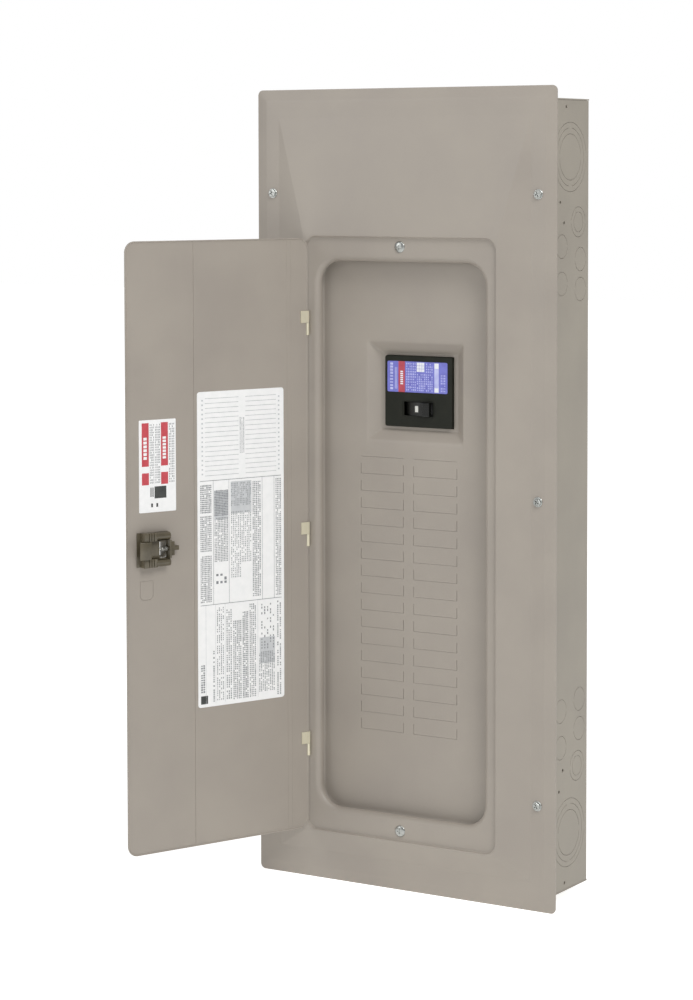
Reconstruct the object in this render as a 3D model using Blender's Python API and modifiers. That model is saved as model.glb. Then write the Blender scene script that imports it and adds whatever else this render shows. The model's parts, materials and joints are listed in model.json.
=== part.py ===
"""A residential load center: a steel wall box with a screwed-on trim, a hinged door, a dead front
with twistouts, a main breaker and the bus interior behind them.

Frame: origin at the centre of the box's back face, +X to the right seen from the front, the front
faces -Y, +Z up. Every length is in metres. The door is modelled closed and then opened about its axis.
"""

import math

import bmesh
import bpy
from mathutils import Matrix, Vector

MM = 0.001

# Running fits and the gap between pieces that touch.
GAP = 0.3 * MM
HINGE_CLEARANCE = 0.1 * MM
SCREW_CLEARANCE = 0.4 * MM

# How far a cutter runs past the face it opens.
CUT_MARGIN = 1.0 * MM

# Wall box.
BOX_WIDTH = 350.5 * MM
BOX_HEIGHT = 858.0 * MM
BOX_DEPTH = 101.0 * MM
BOX_SHEET = 1.5 * MM
BOX_FLANGE = 16.0 * MM
END_FLANGE = 14.0 * MM

# Trim, from its rim to the opening over the dead front.
TRIM_SHEET = 1.5 * MM
TRIM_OVERHANG_X = 13.75 * MM
TRIM_OVERHANG_Z = 13.0 * MM
TRIM_CORNER = 6.0 * MM
RIM_WIDTH = 12.7 * MM
RIM_RISE = 2.6 * MM
BAND_WIDTH_X = 16.6 * MM
BAND_WIDTH_Z = 19.3 * MM
PLATEAU_RISE = 8.1 * MM
PLATEAU_RIM = 2.1 * MM
SEAT_WIDTH = 242.0 * MM
TOP_PANEL = 162.1 * MM
BOTTOM_PANEL = 56.7 * MM
SEAT_CORNER = 14.0 * MM
SEAT_DEPTH = 3.4 * MM
SEAT_STEP = 0.8 * MM
STRIP_WIDTH_X = 9.0 * MM
STRIP_WIDTH_Z = 20.2 * MM
LIP_RADIUS = 6.3 * MM
LIP_LENGTH = 1.0 * MM
LIP_CORNER = 25.0 * MM

# Screws. Those of the dead front have flat heads, which the closed door clears.
SCREW_SPACING = 0.381 * BOX_HEIGHT
SCREW_SHANK = 1.9 * MM
SCREW_HEAD = 4.8 * MM
SCREW_HEAD_HEIGHT = 2.6 * MM
FLAT_HEAD_HEIGHT = 1.5 * MM
COVER_SCREW_LENGTH = 12.0 * MM

# Door and its hinges.
DOOR_SHEET = 1.2 * MM
DOOR_RETURN = 1.0 * MM
DOOR_CORNER = 12.0 * MM
DOOR_SIDE_GAP = 0.4 * MM
DOOR_END_GAP = 1.4 * MM
DOOR_OPEN = math.radians(112.2)
HINGE_INSET = 3.5 * MM
HINGE_SPACING = 0.275 * BOX_HEIGHT
HINGE_LENGTH = 27.0 * MM
KNUCKLE_RADIUS = 2.1 * MM
PIN_RADIUS = 1.05 * MM
LEAF_SHEET = 1.0 * MM
DOOR_LEAF_SHEET = 0.7 * MM
DOOR_LEAF_WIDTH = 10.0 * MM

# Labels on the door's inner face, measured from the hinge axis and the door's centre.
LABEL_SHEET = 0.25 * MM
LABEL_GAP = 0.1 * MM
DIRECTORY_WIDTH = 113.5 * MM
DIRECTORY_HEIGHT = 345.0 * MM
DIRECTORY_FROM_HINGE = 33.6 * MM
DIRECTORY_RISE = -6.6 * MM
CAUTION_WIDTH = 46.5 * MM
CAUTION_HEIGHT = 99.5 * MM
CAUTION_FROM_FREE_EDGE = 39.6 * MM
CAUTION_RISE = 89.4 * MM

# Door latch.
LATCH_HALF_HEIGHT = 18.5 * MM
LATCH_WIDTH = 34.0 * MM
LATCH_FOOT = 4.0 * MM
LATCH_DEPTH = 10.0 * MM
LATCH_WALL = 2.2 * MM
LATCH_WINDOW = 22.0 * MM
LATCH_HOOK = 4.4 * MM
LATCH_EDGE_GAP = 1.9 * MM
BEZEL_RIM = 3.0 * MM
BEZEL_HEIGHT = 1.4 * MM
LATCH_TAB = 6.0 * MM
SPRING_RADIUS = 2.2 * MM
SPRING_WIRE = 0.4 * MM
SPRING_TURNS = 6

# Dead front.
TRAY_SHEET = 1.2 * MM
TRAY_MARGIN = 4.9 * MM
TRAY_CORNER = 27.0 * MM
PAN_GAP = 11.4 * MM
POCKET_DEPTH = 11.8 * MM
POCKET_SLOPE = 12.0 * MM
POCKET_LEDGE_X = 6.0 * MM
POCKET_LEDGE_Z = 3.3 * MM
TAB_WIDTH = 60.0 * MM
TWIST_PITCH = 19.05 * MM
TWIST_WIDTH = 54.6 * MM
TWIST_BAR = 13.1 * MM
TWIST_SIDE = 11.4 * MM
SHEAR_GAP = 0.5 * MM
ROWS_BELOW_POCKET = 18.8 * MM
ROWS_ABOVE_OPENING = 89.3 * MM

# Main breaker.
BREAKER_X = 8.1 * MM
BREAKER_DROP = 143.3 * MM
BREAKER_WIDTH = 85.2 * MM
BREAKER_HEIGHT = 78.4 * MM
BREAKER_PROUD = 4.5 * MM
BREAKER_WALL = 2.5 * MM
BREAKER_COVER_DEPTH = 33.5 * MM
BREAKER_BASE_HEIGHT = 138.0 * MM
BREAKER_BASE_WIDTH = 96.0 * MM
RATING_LABEL_WIDTH = 76.3 * MM
RATING_LABEL_HEIGHT = 34.0 * MM
RATING_LABEL_RISE = 16.2 * MM
SLOT_WIDTH = 37.6 * MM
SLOT_HEIGHT = 15.6 * MM
SLOT_DROP = 18.9 * MM
HANDLE_RADIUS = 27.5 * MM
HANDLE_PROUD = 1.0 * MM
HANDLE_SECTOR = math.radians(66)
HANDLE_LEVER = 9.3 * MM
HANDLE_REACH = 36.5 * MM
HANDLE_THROW = math.radians(21.8)
AXLE_RADIUS = 2.4 * MM
AXLE_POST = 4.0 * MM
LUG_WIDTH = 26.0 * MM
LUG_HEIGHT = 28.0 * MM
LUG_DEPTH = 15.0 * MM
LUG_PROUD = 1.0 * MM
LUG_BORE = 5.5 * MM

# Bus interior, stacked from the dead front towards the back wall.
BREAKER_STACK = 65.4 * MM
BUS_THICKNESS = 3.7 * MM
BUS_WIDTH = 14.0 * MM
BUS_SPREAD = 30.0 * MM
STAB_HEIGHT = 14.0 * MM
STAB_FIN = 3.0 * MM
STAB_REACH = 18.0 * MM
SUPPORT_DEPTH = 5.1 * MM
SUPPORT_HEIGHT = 34.0 * MM
HAT_SHEET = 1.5 * MM
HAT_HALF_WIDTH = 84.0 * MM
HAT_FOOT = 14.0 * MM
HAT_MARGIN = 30.0 * MM
RAIL_X = 72.5 * MM
RAIL_HEIGHT = 36.0 * MM
RAIL_HOOK = 5.0 * MM
RAIL_SHEET = 1.6 * MM
NEUTRAL_X = 112.0 * MM
NEUTRAL_WIDTH = 13.0 * MM
NEUTRAL_DEPTH = 12.0 * MM
NEUTRAL_LUG_PROUD = 8.0 * MM
NEUTRAL_STANDOFF = 17.0 * MM
NEUTRAL_TAIL = 22.0 * MM
TERMINAL_COUNT = 9
TERMINAL_RADIUS = 2.7 * MM
STRAP_WIDTH = 14.0 * MM
STRAP_SHEET = 2.0 * MM
GROUND_X = 146.0 * MM
GROUND_LENGTH = 120.0 * MM

# Knockouts in the box's walls: distance from the front edge, height from the middle, ring radius.
SIDE_KNOCKOUTS = (
    (57.1 * MM, 366.4 * MM, 37.5 * MM, 16),
    (76.4 * MM, 296.5 * MM, 16.5 * MM, 12),
    (38.1 * MM, 270.7 * MM, 13.0 * MM, 12),
    (81.4 * MM, 256.2 * MM, 13.0 * MM, 12),
    (38.1 * MM, 230.8 * MM, 13.0 * MM, 12),
    (81.4 * MM, 223.8 * MM, 13.0 * MM, 12),
)
END_KNOCKOUTS = (
    (-118.0 * MM, 50.0 * MM, 16.5 * MM, 12),
    (-66.0 * MM, 50.0 * MM, 13.0 * MM, 12),
    (0.0, 50.0 * MM, 37.5 * MM, 16),
    (66.0 * MM, 50.0 * MM, 13.0 * MM, 12),
    (118.0 * MM, 50.0 * MM, 16.5 * MM, 12),
)
# The box that the places above were taken from: its half height and its width.
KNOCKOUT_BOX_HALF_HEIGHT = 429.0 * MM
KNOCKOUT_BOX_WIDTH = 350.5 * MM
KNOCKOUT_GROOVE = 1.0 * MM
KNOCKOUT_DEPTH = 0.8 * MM
MOUNTING_HOLE = 4.0 * MM
MOUNTING_HOLE_INSET = 45.0 * MM

CORNER_STEPS = 6
ROLL_STEPS = 4

# Derived planes, front faces unless said otherwise.
FRONT_Y = -BOX_DEPTH
BAND_Y = FRONT_Y - GAP - TRIM_SHEET
RIM_Y = BAND_Y + RIM_RISE
PLATEAU_Y = BAND_Y - PLATEAU_RISE
STRIP_Y = PLATEAU_Y + SEAT_DEPTH
STRIP_BACK_Y = STRIP_Y + TRIM_SHEET
LIP_BACK_Y = STRIP_Y + LIP_RADIUS + LIP_LENGTH
PAN_Y = LIP_BACK_Y + PAN_GAP
POCKET_Y = PAN_Y + POCKET_DEPTH
FACE_Y = POCKET_Y - BREAKER_PROUD
BUS_Y = PAN_Y + BREAKER_STACK
BUS_BACK_Y = BUS_Y + BUS_THICKNESS
HAT_Y = BUS_BACK_Y + GAP + SUPPORT_DEPTH + GAP
WALL_Y = -BOX_SHEET - GAP

# Derived outlines.
TRIM_HALF_X = BOX_WIDTH / 2 + TRIM_OVERHANG_X
TRIM_HALF_Z = BOX_HEIGHT / 2 + TRIM_OVERHANG_Z
SEAT_TOP = TRIM_HALF_Z - TOP_PANEL
SEAT_BOTTOM = BOTTOM_PANEL - TRIM_HALF_Z
MIDDLE_Z = (SEAT_TOP + SEAT_BOTTOM) / 2
SEAT_HALF_X = SEAT_WIDTH / 2
SEAT_HALF_Z = (SEAT_TOP - SEAT_BOTTOM) / 2
STRIP_HALF_X = SEAT_HALF_X - SEAT_STEP - STRIP_WIDTH_X
STRIP_HALF_Z = SEAT_HALF_Z - SEAT_STEP - STRIP_WIDTH_Z
OPENING_HALF_X = STRIP_HALF_X - LIP_RADIUS
OPENING_HALF_Z = STRIP_HALF_Z - LIP_RADIUS
COVER_SCREW_X = TRIM_HALF_X - RIM_WIDTH - BAND_WIDTH_X / 2
FRONT_SCREW_Z = (SEAT_HALF_Z - SEAT_STEP + STRIP_HALF_Z) / 2
HINGE_X = -SEAT_HALF_X + HINGE_INSET
HINGE_Y = PLATEAU_Y
DOOR_START = HINGE_X + DOOR_SIDE_GAP
DOOR_END = SEAT_HALF_X - SEAT_STEP - DOOR_SIDE_GAP
DOOR_HALF_Z = SEAT_HALF_Z - SEAT_STEP - DOOR_END_GAP
DOOR_FACE_Y = HINGE_Y
DOOR_INNER_Y = DOOR_FACE_Y + DOOR_SHEET
DOOR_BACK_Y = DOOR_INNER_Y + DOOR_RETURN
BREAKER_Z = MIDDLE_Z + OPENING_HALF_Z - BREAKER_DROP
POCKET_FLOOR_X = BREAKER_WIDTH / 2 + POCKET_LEDGE_X
POCKET_FLOOR_Z = BREAKER_HEIGHT / 2 + POCKET_LEDGE_Z
ROWS_TOP = BREAKER_Z - POCKET_FLOOR_Z - POCKET_SLOPE - ROWS_BELOW_POCKET
ROWS_LIMIT = MIDDLE_Z - OPENING_HALF_Z + ROWS_ABOVE_OPENING
ROWS = int((ROWS_TOP - ROWS_LIMIT) / TWIST_PITCH + 0.01)
ROWS_BOTTOM = ROWS_TOP - ROWS * TWIST_PITCH
HANDLE_Z = BREAKER_Z - SLOT_DROP
HANDLE_Y = FACE_Y - HANDLE_PROUD + HANDLE_RADIUS
NEUTRAL_Y = WALL_Y - NEUTRAL_STANDOFF - GAP - NEUTRAL_DEPTH
NEUTRAL_BOTTOM = ROWS_BOTTOM - NEUTRAL_TAIL


def clear_scene():
    for old in list(bpy.data.objects):
        bpy.data.objects.remove(old)


def make_collection(name):
    collection = bpy.data.collections.new(name)
    bpy.context.scene.collection.children.link(collection)
    return collection


def srgb(hex_colour):
    values = [int(hex_colour[i : i + 2], 16) / 255 for i in (0, 2, 4)]
    return [v / 12.92 if v <= 0.04045 else ((v + 0.055) / 1.055) ** 2.4 for v in values]


def make_material(name, hex_colour, roughness, metallic=0.0):
    material = bpy.data.materials.new(name)
    material.use_nodes = True
    shader = material.node_tree.nodes["Principled BSDF"]
    shader.inputs["Base Color"].default_value = (*srgb(hex_colour), 1.0)
    shader.inputs["Roughness"].default_value = roughness
    shader.inputs["Metallic"].default_value = metallic
    return material


clear_scene()
PARTS = make_collection("load_center")
CUTTERS = make_collection("cutters")
TAUPE = make_material("taupe powder coat", "a89f95", 0.45)
ZINC = make_material("bright zinc plate", "d6d6d0", 0.28, 1.0)
BLACK = make_material("black phenolic", "2b2b2a", 0.45)
BRONZE = make_material("dark bronze plastic", "4d473c", 0.4)
COPPER = make_material("bare copper", "c08a62", 0.35, 1.0)
PLATED_BUS = make_material("tin-plated bus", "c6c3bc", 0.35, 1.0)
ALUMINIUM = make_material("extruded aluminium", "b9bcbd", 0.4, 1.0)
SUPPORT = make_material("moulded grey support", "6c6a66", 0.6)
PAPER = make_material("printed label", "f1f1ee", 0.7)
RATING = make_material("printed rating label", "6a70c8", 0.45)
SPRING_STEEL = make_material("spring steel", "a9a9a5", 0.3, 1.0)


# Making and placing.


def add_object(name, mesh, material=None, parent=None):
    """A piece with a material, or a cutter without one. The mesh is in closed-door coordinates."""
    piece = bpy.data.objects.new(name, mesh)
    if material:
        mesh.materials.clear()
        mesh.materials.append(material)
        PARTS.objects.link(piece)
    else:
        CUTTERS.objects.link(piece)
        piece.hide_render = True
        piece.display_type = "WIRE"
    if parent:
        piece.parent = parent
        piece.matrix_parent_inverse = Matrix.Translation(parent["closed_at"]).inverted()
    return piece


def add_axis(name, place, parent=None):
    """An empty on a joint's axis, which remembers where it stands with the door closed."""
    axis = bpy.data.objects.new(name, None)
    PARTS.objects.link(axis)
    axis["closed_at"] = place
    axis.location = place
    if parent:
        axis.parent = parent
        axis.matrix_parent_inverse = Matrix.Translation(parent["closed_at"]).inverted()
    return axis


def boxes_mesh(name, corners):
    """Boxes, each from its low and high (x, y, z) corner."""
    shape = bmesh.new()
    for low, high in corners:
        size = [b - a for a, b in zip(low, high)]
        middle = [(a + b) / 2 for a, b in zip(low, high)]
        matrix = Matrix.Translation(middle) @ Matrix.Diagonal((*size, 1))
        bmesh.ops.create_cube(shape, size=1, matrix=matrix)
    mesh = bpy.data.meshes.new(name)
    shape.to_mesh(mesh)
    shape.free()
    return mesh


AXIS_TURN = {
    "X": Matrix.Rotation(math.pi / 2, 4, "Y"),
    "Y": Matrix.Rotation(-math.pi / 2, 4, "X"),
    "Z": Matrix.Identity(4),
}


def cylinders_mesh(name, middles, radius, length, axis, sides=12):
    shape = bmesh.new()
    for middle in middles:
        matrix = Matrix.Translation(middle) @ AXIS_TURN[axis]
        bmesh.ops.create_cone(
            shape,
            cap_ends=True,
            segments=sides,
            radius1=radius,
            radius2=radius,
            depth=length,
            matrix=matrix,
        )
    mesh = bpy.data.meshes.new(name)
    shape.to_mesh(mesh)
    shape.free()
    return mesh


# A flat outline's own x, y and z as row axes: (u, v) are the outline's, w is the way it is extruded.
PLANES = {
    "XZ": Matrix(((1, 0, 0, 0), (0, 0, -1, 0), (0, 1, 0, 0), (0, 0, 0, 1))),
    "XY": Matrix.Identity(4),
    "YZ": Matrix(((0, 0, 1, 0), (1, 0, 0, 0), (0, 1, 0, 0), (0, 0, 0, 1))),
}
PLANE_NORMALS = {"XZ": Vector((0, 1, 0)), "XY": Vector((0, 0, 1)), "YZ": Vector((1, 0, 0))}


def extruded_mesh(name, loops, plane, start, end):
    """Closed loops in a plane, extruded along its normal from start to end. Inner loops are holes."""
    curve = bpy.data.curves.new(name, "CURVE")
    curve.dimensions = "2D"
    curve.fill_mode = "BOTH"
    curve.extrude = (end - start) / 2
    for loop in loops:
        spline = curve.splines.new("POLY")
        spline.points.add(len(loop) - 1)
        for point, (u, v) in zip(spline.points, loop):
            point.co = (u, v, 0, 1)
        spline.use_cyclic_u = True
    drawn = bpy.data.objects.new(name, curve)
    PARTS.objects.link(drawn)
    mesh = bpy.data.meshes.new_from_object(drawn.evaluated_get(bpy.context.evaluated_depsgraph_get()))
    bpy.data.objects.remove(drawn)
    bpy.data.curves.remove(curve)
    shape = bmesh.new()
    shape.from_mesh(mesh)
    bmesh.ops.remove_doubles(shape, verts=shape.verts, dist=1e-6)
    middle = Matrix.Translation(PLANE_NORMALS[plane] * (start + end) / 2)
    bmesh.ops.transform(shape, matrix=middle @ PLANES[plane], verts=shape.verts)
    bmesh.ops.recalc_face_normals(shape, faces=shape.faces)
    shape.to_mesh(mesh)
    shape.free()
    mesh.name = name
    return mesh


def rectangle(u0, u1, v0, v1):
    return [(u0, v0), (u1, v0), (u1, v1), (u0, v1)]


def arc(centre, radius, start, end, steps):
    """Points on an arc, angles in radians, both ends included."""
    turns = [start + (end - start) * i / steps for i in range(steps + 1)]
    return [(centre[0] + radius * math.cos(t), centre[1] + radius * math.sin(t)) for t in turns]


def circle(centre, radius, sides):
    return arc(centre, radius, 0, 2 * math.pi, sides)[:-1]


def rounded_loop(centre, half_u, half_v, radius, steps=CORNER_STEPS):
    """A rectangle with round corners, counter-clockwise."""
    loop = []
    for turn, (side_u, side_v) in enumerate(((1, 1), (-1, 1), (-1, -1), (1, -1))):
        corner = (centre[0] + side_u * (half_u - radius), centre[1] + side_v * (half_v - radius))
        loop += arc(corner, radius, turn * math.pi / 2, (turn + 1) * math.pi / 2, steps)
    return loop


def ringed_sheet_mesh(name, rings, filled=False):
    """An open sheet through nested rings, each a loop in X and Z with its own y, the outermost first."""
    shape = bmesh.new()
    rows = [[shape.verts.new((u, y, v)) for u, v in loop] for loop, y in rings]
    for outer, inner in zip(rows, rows[1:]):
        for i in range(len(outer)):
            j = (i + 1) % len(outer)
            shape.faces.new((outer[i], outer[j], inner[j], inner[i]))
    if filled:
        shape.faces.new(rows[-1])
    mesh = bpy.data.meshes.new(name)
    shape.to_mesh(mesh)
    shape.free()
    return mesh


def thicken(piece, thickness):
    """Gives an open sheet its thickness behind the face that shows."""
    wall = piece.modifiers.new("sheet thickness", "SOLIDIFY")
    wall.thickness = thickness
    wall.offset = -1
    wall.use_even_offset = True


def boolean(piece, mesh, operation="DIFFERENCE"):
    """Cuts the mesh from the piece, or joins it on."""
    cutter = add_object(mesh.name + "_cutter", mesh)
    cutter.parent = piece.parent
    cutter.matrix_parent_inverse = piece.matrix_parent_inverse
    change = piece.modifiers.new(mesh.name, "BOOLEAN")
    change.operation = operation
    change.object = cutter
    return piece


def smooth_round_faces(piece):
    piece.data.shade_smooth()
    piece.data.set_sharp_from_angle(angle=math.radians(35))


# Enclosure.


def side_knockout_loops():
    """Grooves in the plane of a side wall, mirrored about the box's middle height."""
    loops = []
    for from_front, height, radius, sides in SIDE_KNOCKOUTS:
        for end in (1, -1):
            centre = (FRONT_Y + from_front, end * (height - KNOCKOUT_BOX_HALF_HEIGHT + BOX_HEIGHT / 2))
            loops += [circle(centre, radius, sides), circle(centre, radius - KNOCKOUT_GROOVE, sides)]
    return loops


def enclosure_wrap():
    """One sheet folded into the back, both side walls and the flanges that the cover screws bite into."""
    half = BOX_WIDTH / 2
    inner = half - BOX_SHEET
    flange = half - BOX_FLANGE
    profile = [
        (flange, FRONT_Y),
        (half, FRONT_Y),
        (half, 0),
        (-half, 0),
        (-half, FRONT_Y),
        (-flange, FRONT_Y),
        (-flange, FRONT_Y + BOX_SHEET),
        (-inner, FRONT_Y + BOX_SHEET),
        (-inner, -BOX_SHEET),
        (inner, -BOX_SHEET),
        (inner, FRONT_Y + BOX_SHEET),
        (flange, FRONT_Y + BOX_SHEET),
    ]
    end = BOX_HEIGHT / 2 - BOX_SHEET - GAP
    wrap = add_object("enclosure_wrap", extruded_mesh("wrap", [profile], "XY", -end, end), TAUPE)
    for side in (1, -1):
        start, stop = sorted((side * (half - KNOCKOUT_DEPTH), side * (half + CUT_MARGIN)))
        boolean(wrap, extruded_mesh("side_knockouts", side_knockout_loops(), "YZ", start, stop))
    holes = [(x, FRONT_Y, z) for x, z in cover_screw_places()]
    boolean(wrap, cylinders_mesh("flange_holes", holes, SCREW_SHANK + SCREW_CLEARANCE, 4 * BOX_SHEET, "Y"))
    reach_x = half - MOUNTING_HOLE_INSET
    reach_z = BOX_HEIGHT / 2 - MOUNTING_HOLE_INSET
    holes = [(sx * reach_x, 0, sz * reach_z) for sx in (1, -1) for sz in (1, -1)]
    boolean(wrap, cylinders_mesh("mounting_holes", holes, MOUNTING_HOLE, 4 * BOX_SHEET, "Y"))
    feet = [(x, 0, z) for x, z in interior_screw_places()]
    boolean(wrap, cylinders_mesh("interior_holes", feet, SCREW_SHANK + SCREW_CLEARANCE, 4 * BOX_SHEET, "Y"))


def end_wall(name, side):
    """A folded cap whose flanges lie inside the wrap."""
    top = side * BOX_HEIGHT / 2
    under = top - side * BOX_SHEET
    rooted = top - side * BOX_SHEET * 0.6
    tip = under - side * END_FLANGE
    half = BOX_WIDTH / 2
    outer = half - BOX_SHEET - GAP
    back = WALL_Y
    lip = half - BOX_FLANGE - GAP

    def piece_box(x0, x1, y0, y1, z0, z1):
        return ((x0, y0, min(z0, z1)), (x1, y1, max(z0, z1)))

    plate = boxes_mesh("end_plate", [piece_box(-half, half, FRONT_Y, 0, under, top)])
    wall = add_object(name, plate, TAUPE)
    near = FRONT_Y + BOX_SHEET + GAP
    far = back - BOX_SHEET
    flanges = [
        piece_box(-outer, -outer + BOX_SHEET, near, far - GAP, rooted, tip),
        piece_box(outer - BOX_SHEET, outer, near, far - GAP, rooted, tip),
        piece_box(-outer, outer, far, back, rooted, tip),
        piece_box(-lip, lip, FRONT_Y, FRONT_Y + BOX_SHEET, rooted, tip),
    ]
    boolean(wall, boxes_mesh("end_flanges", flanges), "UNION")
    loops = []
    for x, from_front, radius, sides in END_KNOCKOUTS:
        centre = (x * BOX_WIDTH / KNOCKOUT_BOX_WIDTH, FRONT_Y + from_front)
        loops += [circle(centre, radius, sides), circle(centre, radius - KNOCKOUT_GROOVE, sides)]
    start, stop = sorted((top - side * KNOCKOUT_DEPTH, top + side * CUT_MARGIN))
    boolean(wall, extruded_mesh("end_knockouts", loops, "XY", start, stop))


# Trim.


def cover_screw_places():
    return [(side * COVER_SCREW_X, row * SCREW_SPACING) for side in (1, -1) for row in (1, 0, -1)]


def front_screw_places():
    return [(0, MIDDLE_Z + FRONT_SCREW_Z), (0, MIDDLE_Z - FRONT_SCREW_Z)]


def trim_rings():
    """The trim's front surface from its rim inwards: sloped rim, screw band, facets, plateau, seat, lip."""
    sharp = 1.0 * MM
    band_x, band_z = TRIM_HALF_X - RIM_WIDTH, TRIM_HALF_Z - RIM_WIDTH
    middle = (0, MIDDLE_Z)
    rings = [
        (rounded_loop((0, 0), TRIM_HALF_X, TRIM_HALF_Z, TRIM_CORNER), RIM_Y),
        (rounded_loop((0, 0), band_x, band_z, sharp), BAND_Y),
        (rounded_loop((0, 0), band_x - BAND_WIDTH_X, band_z - BAND_WIDTH_Z, sharp), BAND_Y),
        (rounded_loop(middle, SEAT_HALF_X + PLATEAU_RIM, SEAT_HALF_Z + PLATEAU_RIM, sharp), PLATEAU_Y),
        (rounded_loop(middle, SEAT_HALF_X, SEAT_HALF_Z, SEAT_CORNER), PLATEAU_Y),
        (rounded_loop(middle, SEAT_HALF_X - SEAT_STEP, SEAT_HALF_Z - SEAT_STEP, SEAT_CORNER), STRIP_Y),
    ]
    for step in range(ROLL_STEPS + 1):
        turn = math.pi / 2 * step / ROLL_STEPS
        inward = LIP_RADIUS * math.sin(turn)
        y = STRIP_Y + LIP_RADIUS * (1 - math.cos(turn))
        radius = LIP_CORNER + LIP_RADIUS - inward
        rings.append((rounded_loop(middle, STRIP_HALF_X - inward, STRIP_HALF_Z - inward, radius), y))
    rings.append((rounded_loop(middle, OPENING_HALF_X, OPENING_HALF_Z, LIP_CORNER), LIP_BACK_Y))
    return rings


def trim_cover():
    trim = add_object("trim_cover", ringed_sheet_mesh("trim", trim_rings()), TAUPE)
    thicken(trim, TRIM_SHEET)
    holes = [(x, BAND_Y, z) for x, z in cover_screw_places()]
    holes += [(x, STRIP_Y, z) for x, z in front_screw_places()]
    boolean(trim, cylinders_mesh("screw_holes", holes, SCREW_SHANK + SCREW_CLEARANCE, 6 * TRIM_SHEET, "Y"))
    slots = []
    for z in hinge_heights():
        low = (HINGE_X - KNUCKLE_RADIUS - SCREW_CLEARANCE, STRIP_Y - TRIM_SHEET, z - HINGE_LENGTH / 2 - GAP)
        high = (HINGE_X - KNUCKLE_RADIUS + LEAF_SHEET + SCREW_CLEARANCE, STRIP_Y + 2 * TRIM_SHEET, z + GAP)
        slots.append((low, high))
    boolean(trim, boxes_mesh("hinge_slots", slots))
    smooth_round_faces(trim)


def screw(name, place, length, height=SCREW_HEAD_HEIGHT):
    """A round washer-head machine screw, turned about its own axis, head towards -Y."""
    head = [
        (0, height),
        (0.45 * SCREW_HEAD, height),
        (0.72 * SCREW_HEAD, 0.72 * height),
        (0.78 * SCREW_HEAD, 0.3 * height),
        (SCREW_HEAD, 0.25 * height),
        (SCREW_HEAD, 0),
        (SCREW_SHANK, 0),
        (SCREW_SHANK, -length),
        (0, -length),
    ]
    mesh = bpy.data.meshes.new(name)
    edges = [(i, i + 1) for i in range(len(head) - 1)]
    mesh.from_pydata([(r, 0, h) for r, h in head], edges, [])
    piece = add_object(name, mesh, ZINC)
    piece.location = place
    piece.rotation_euler = (math.pi / 2, 0, 0)
    turned = piece.modifiers.new("turned", "SCREW")
    turned.steps = turned.render_steps = 12
    turned.use_merge_vertices = True
    turned.merge_threshold = 1e-5
    return piece


def fasteners():
    for number, (x, z) in enumerate(cover_screw_places(), 1):
        screw(f"cover_screw_{number}", (x, BAND_Y - GAP, z), COVER_SCREW_LENGTH)
    for name, (x, z) in zip(("dead_front_screw_top", "dead_front_screw_bottom"), front_screw_places()):
        screw(name, (x, STRIP_Y - GAP, z), COVER_SCREW_LENGTH, FLAT_HEAD_HEIGHT)
    for number, (x, z) in enumerate(interior_screw_places(), 1):
        screw(f"interior_screw_{number}", (x, WALL_Y - HAT_SHEET - GAP, z), HAT_SHEET + 2 * BOX_SHEET)


# Hinges and door.


def hinge_heights():
    return [MIDDLE_Z + row * HINGE_SPACING for row in (1, 0, -1)]


def knuckle_bore():
    return circle((HINGE_X, HINGE_Y), PIN_RADIUS + HINGE_CLEARANCE, 16)


def trim_leaf_outline():
    """A knuckle whose leg runs back through the trim's slot to a foot behind the strip."""
    outside = HINGE_X - KNUCKLE_RADIUS
    inside = outside + LEAF_SHEET
    foot_y = STRIP_BACK_Y + GAP
    meets = math.acos((inside - HINGE_X) / KNUCKLE_RADIUS)
    knuckle = arc((HINGE_X, HINGE_Y), KNUCKLE_RADIUS, meets, -math.pi, 12)
    foot_end = -STRIP_HALF_X - GAP
    return [
        *knuckle,
        (outside, foot_y + LEAF_SHEET),
        (foot_end, foot_y + LEAF_SHEET),
        (foot_end, foot_y),
        (inside, foot_y),
    ]


def door_leaf_outline():
    """A knuckle whose plate lies against the door's inner face."""
    back = HINGE_Y + KNUCKLE_RADIUS
    front = back - DOOR_LEAF_SHEET
    end = HINGE_X + DOOR_LEAF_WIDTH
    meets = math.asin((front - HINGE_Y) / KNUCKLE_RADIUS)
    knuckle = arc((HINGE_X, HINGE_Y), KNUCKLE_RADIUS, meets, -1.5 * math.pi, 14)
    return [*knuckle, (end, back), (end, front)]


def hinges(door_axis):
    names = ("upper", "middle", "lower")
    for name, z in zip(names, hinge_heights()):
        low, high = z - HINGE_LENGTH / 2, z + HINGE_LENGTH / 2
        loops = [trim_leaf_outline(), knuckle_bore()]
        leaf = extruded_mesh("trim_leaf", loops, "XY", low, z - GAP / 2)
        smooth_round_faces(add_object(f"hinge_trim_leaf_{name}", leaf, ZINC))
        loops = [door_leaf_outline(), knuckle_bore()]
        leaf = extruded_mesh("door_leaf", loops, "XY", z + GAP / 2, high)
        smooth_round_faces(add_object(f"hinge_door_leaf_{name}", leaf, ZINC, door_axis))
        place = (HINGE_X, HINGE_Y, z)
        pin = cylinders_mesh("pin", [place], PIN_RADIUS, HINGE_LENGTH, "Z", 16)
        smooth_round_faces(add_object(f"hinge_pin_{name}", pin, ZINC))


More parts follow.
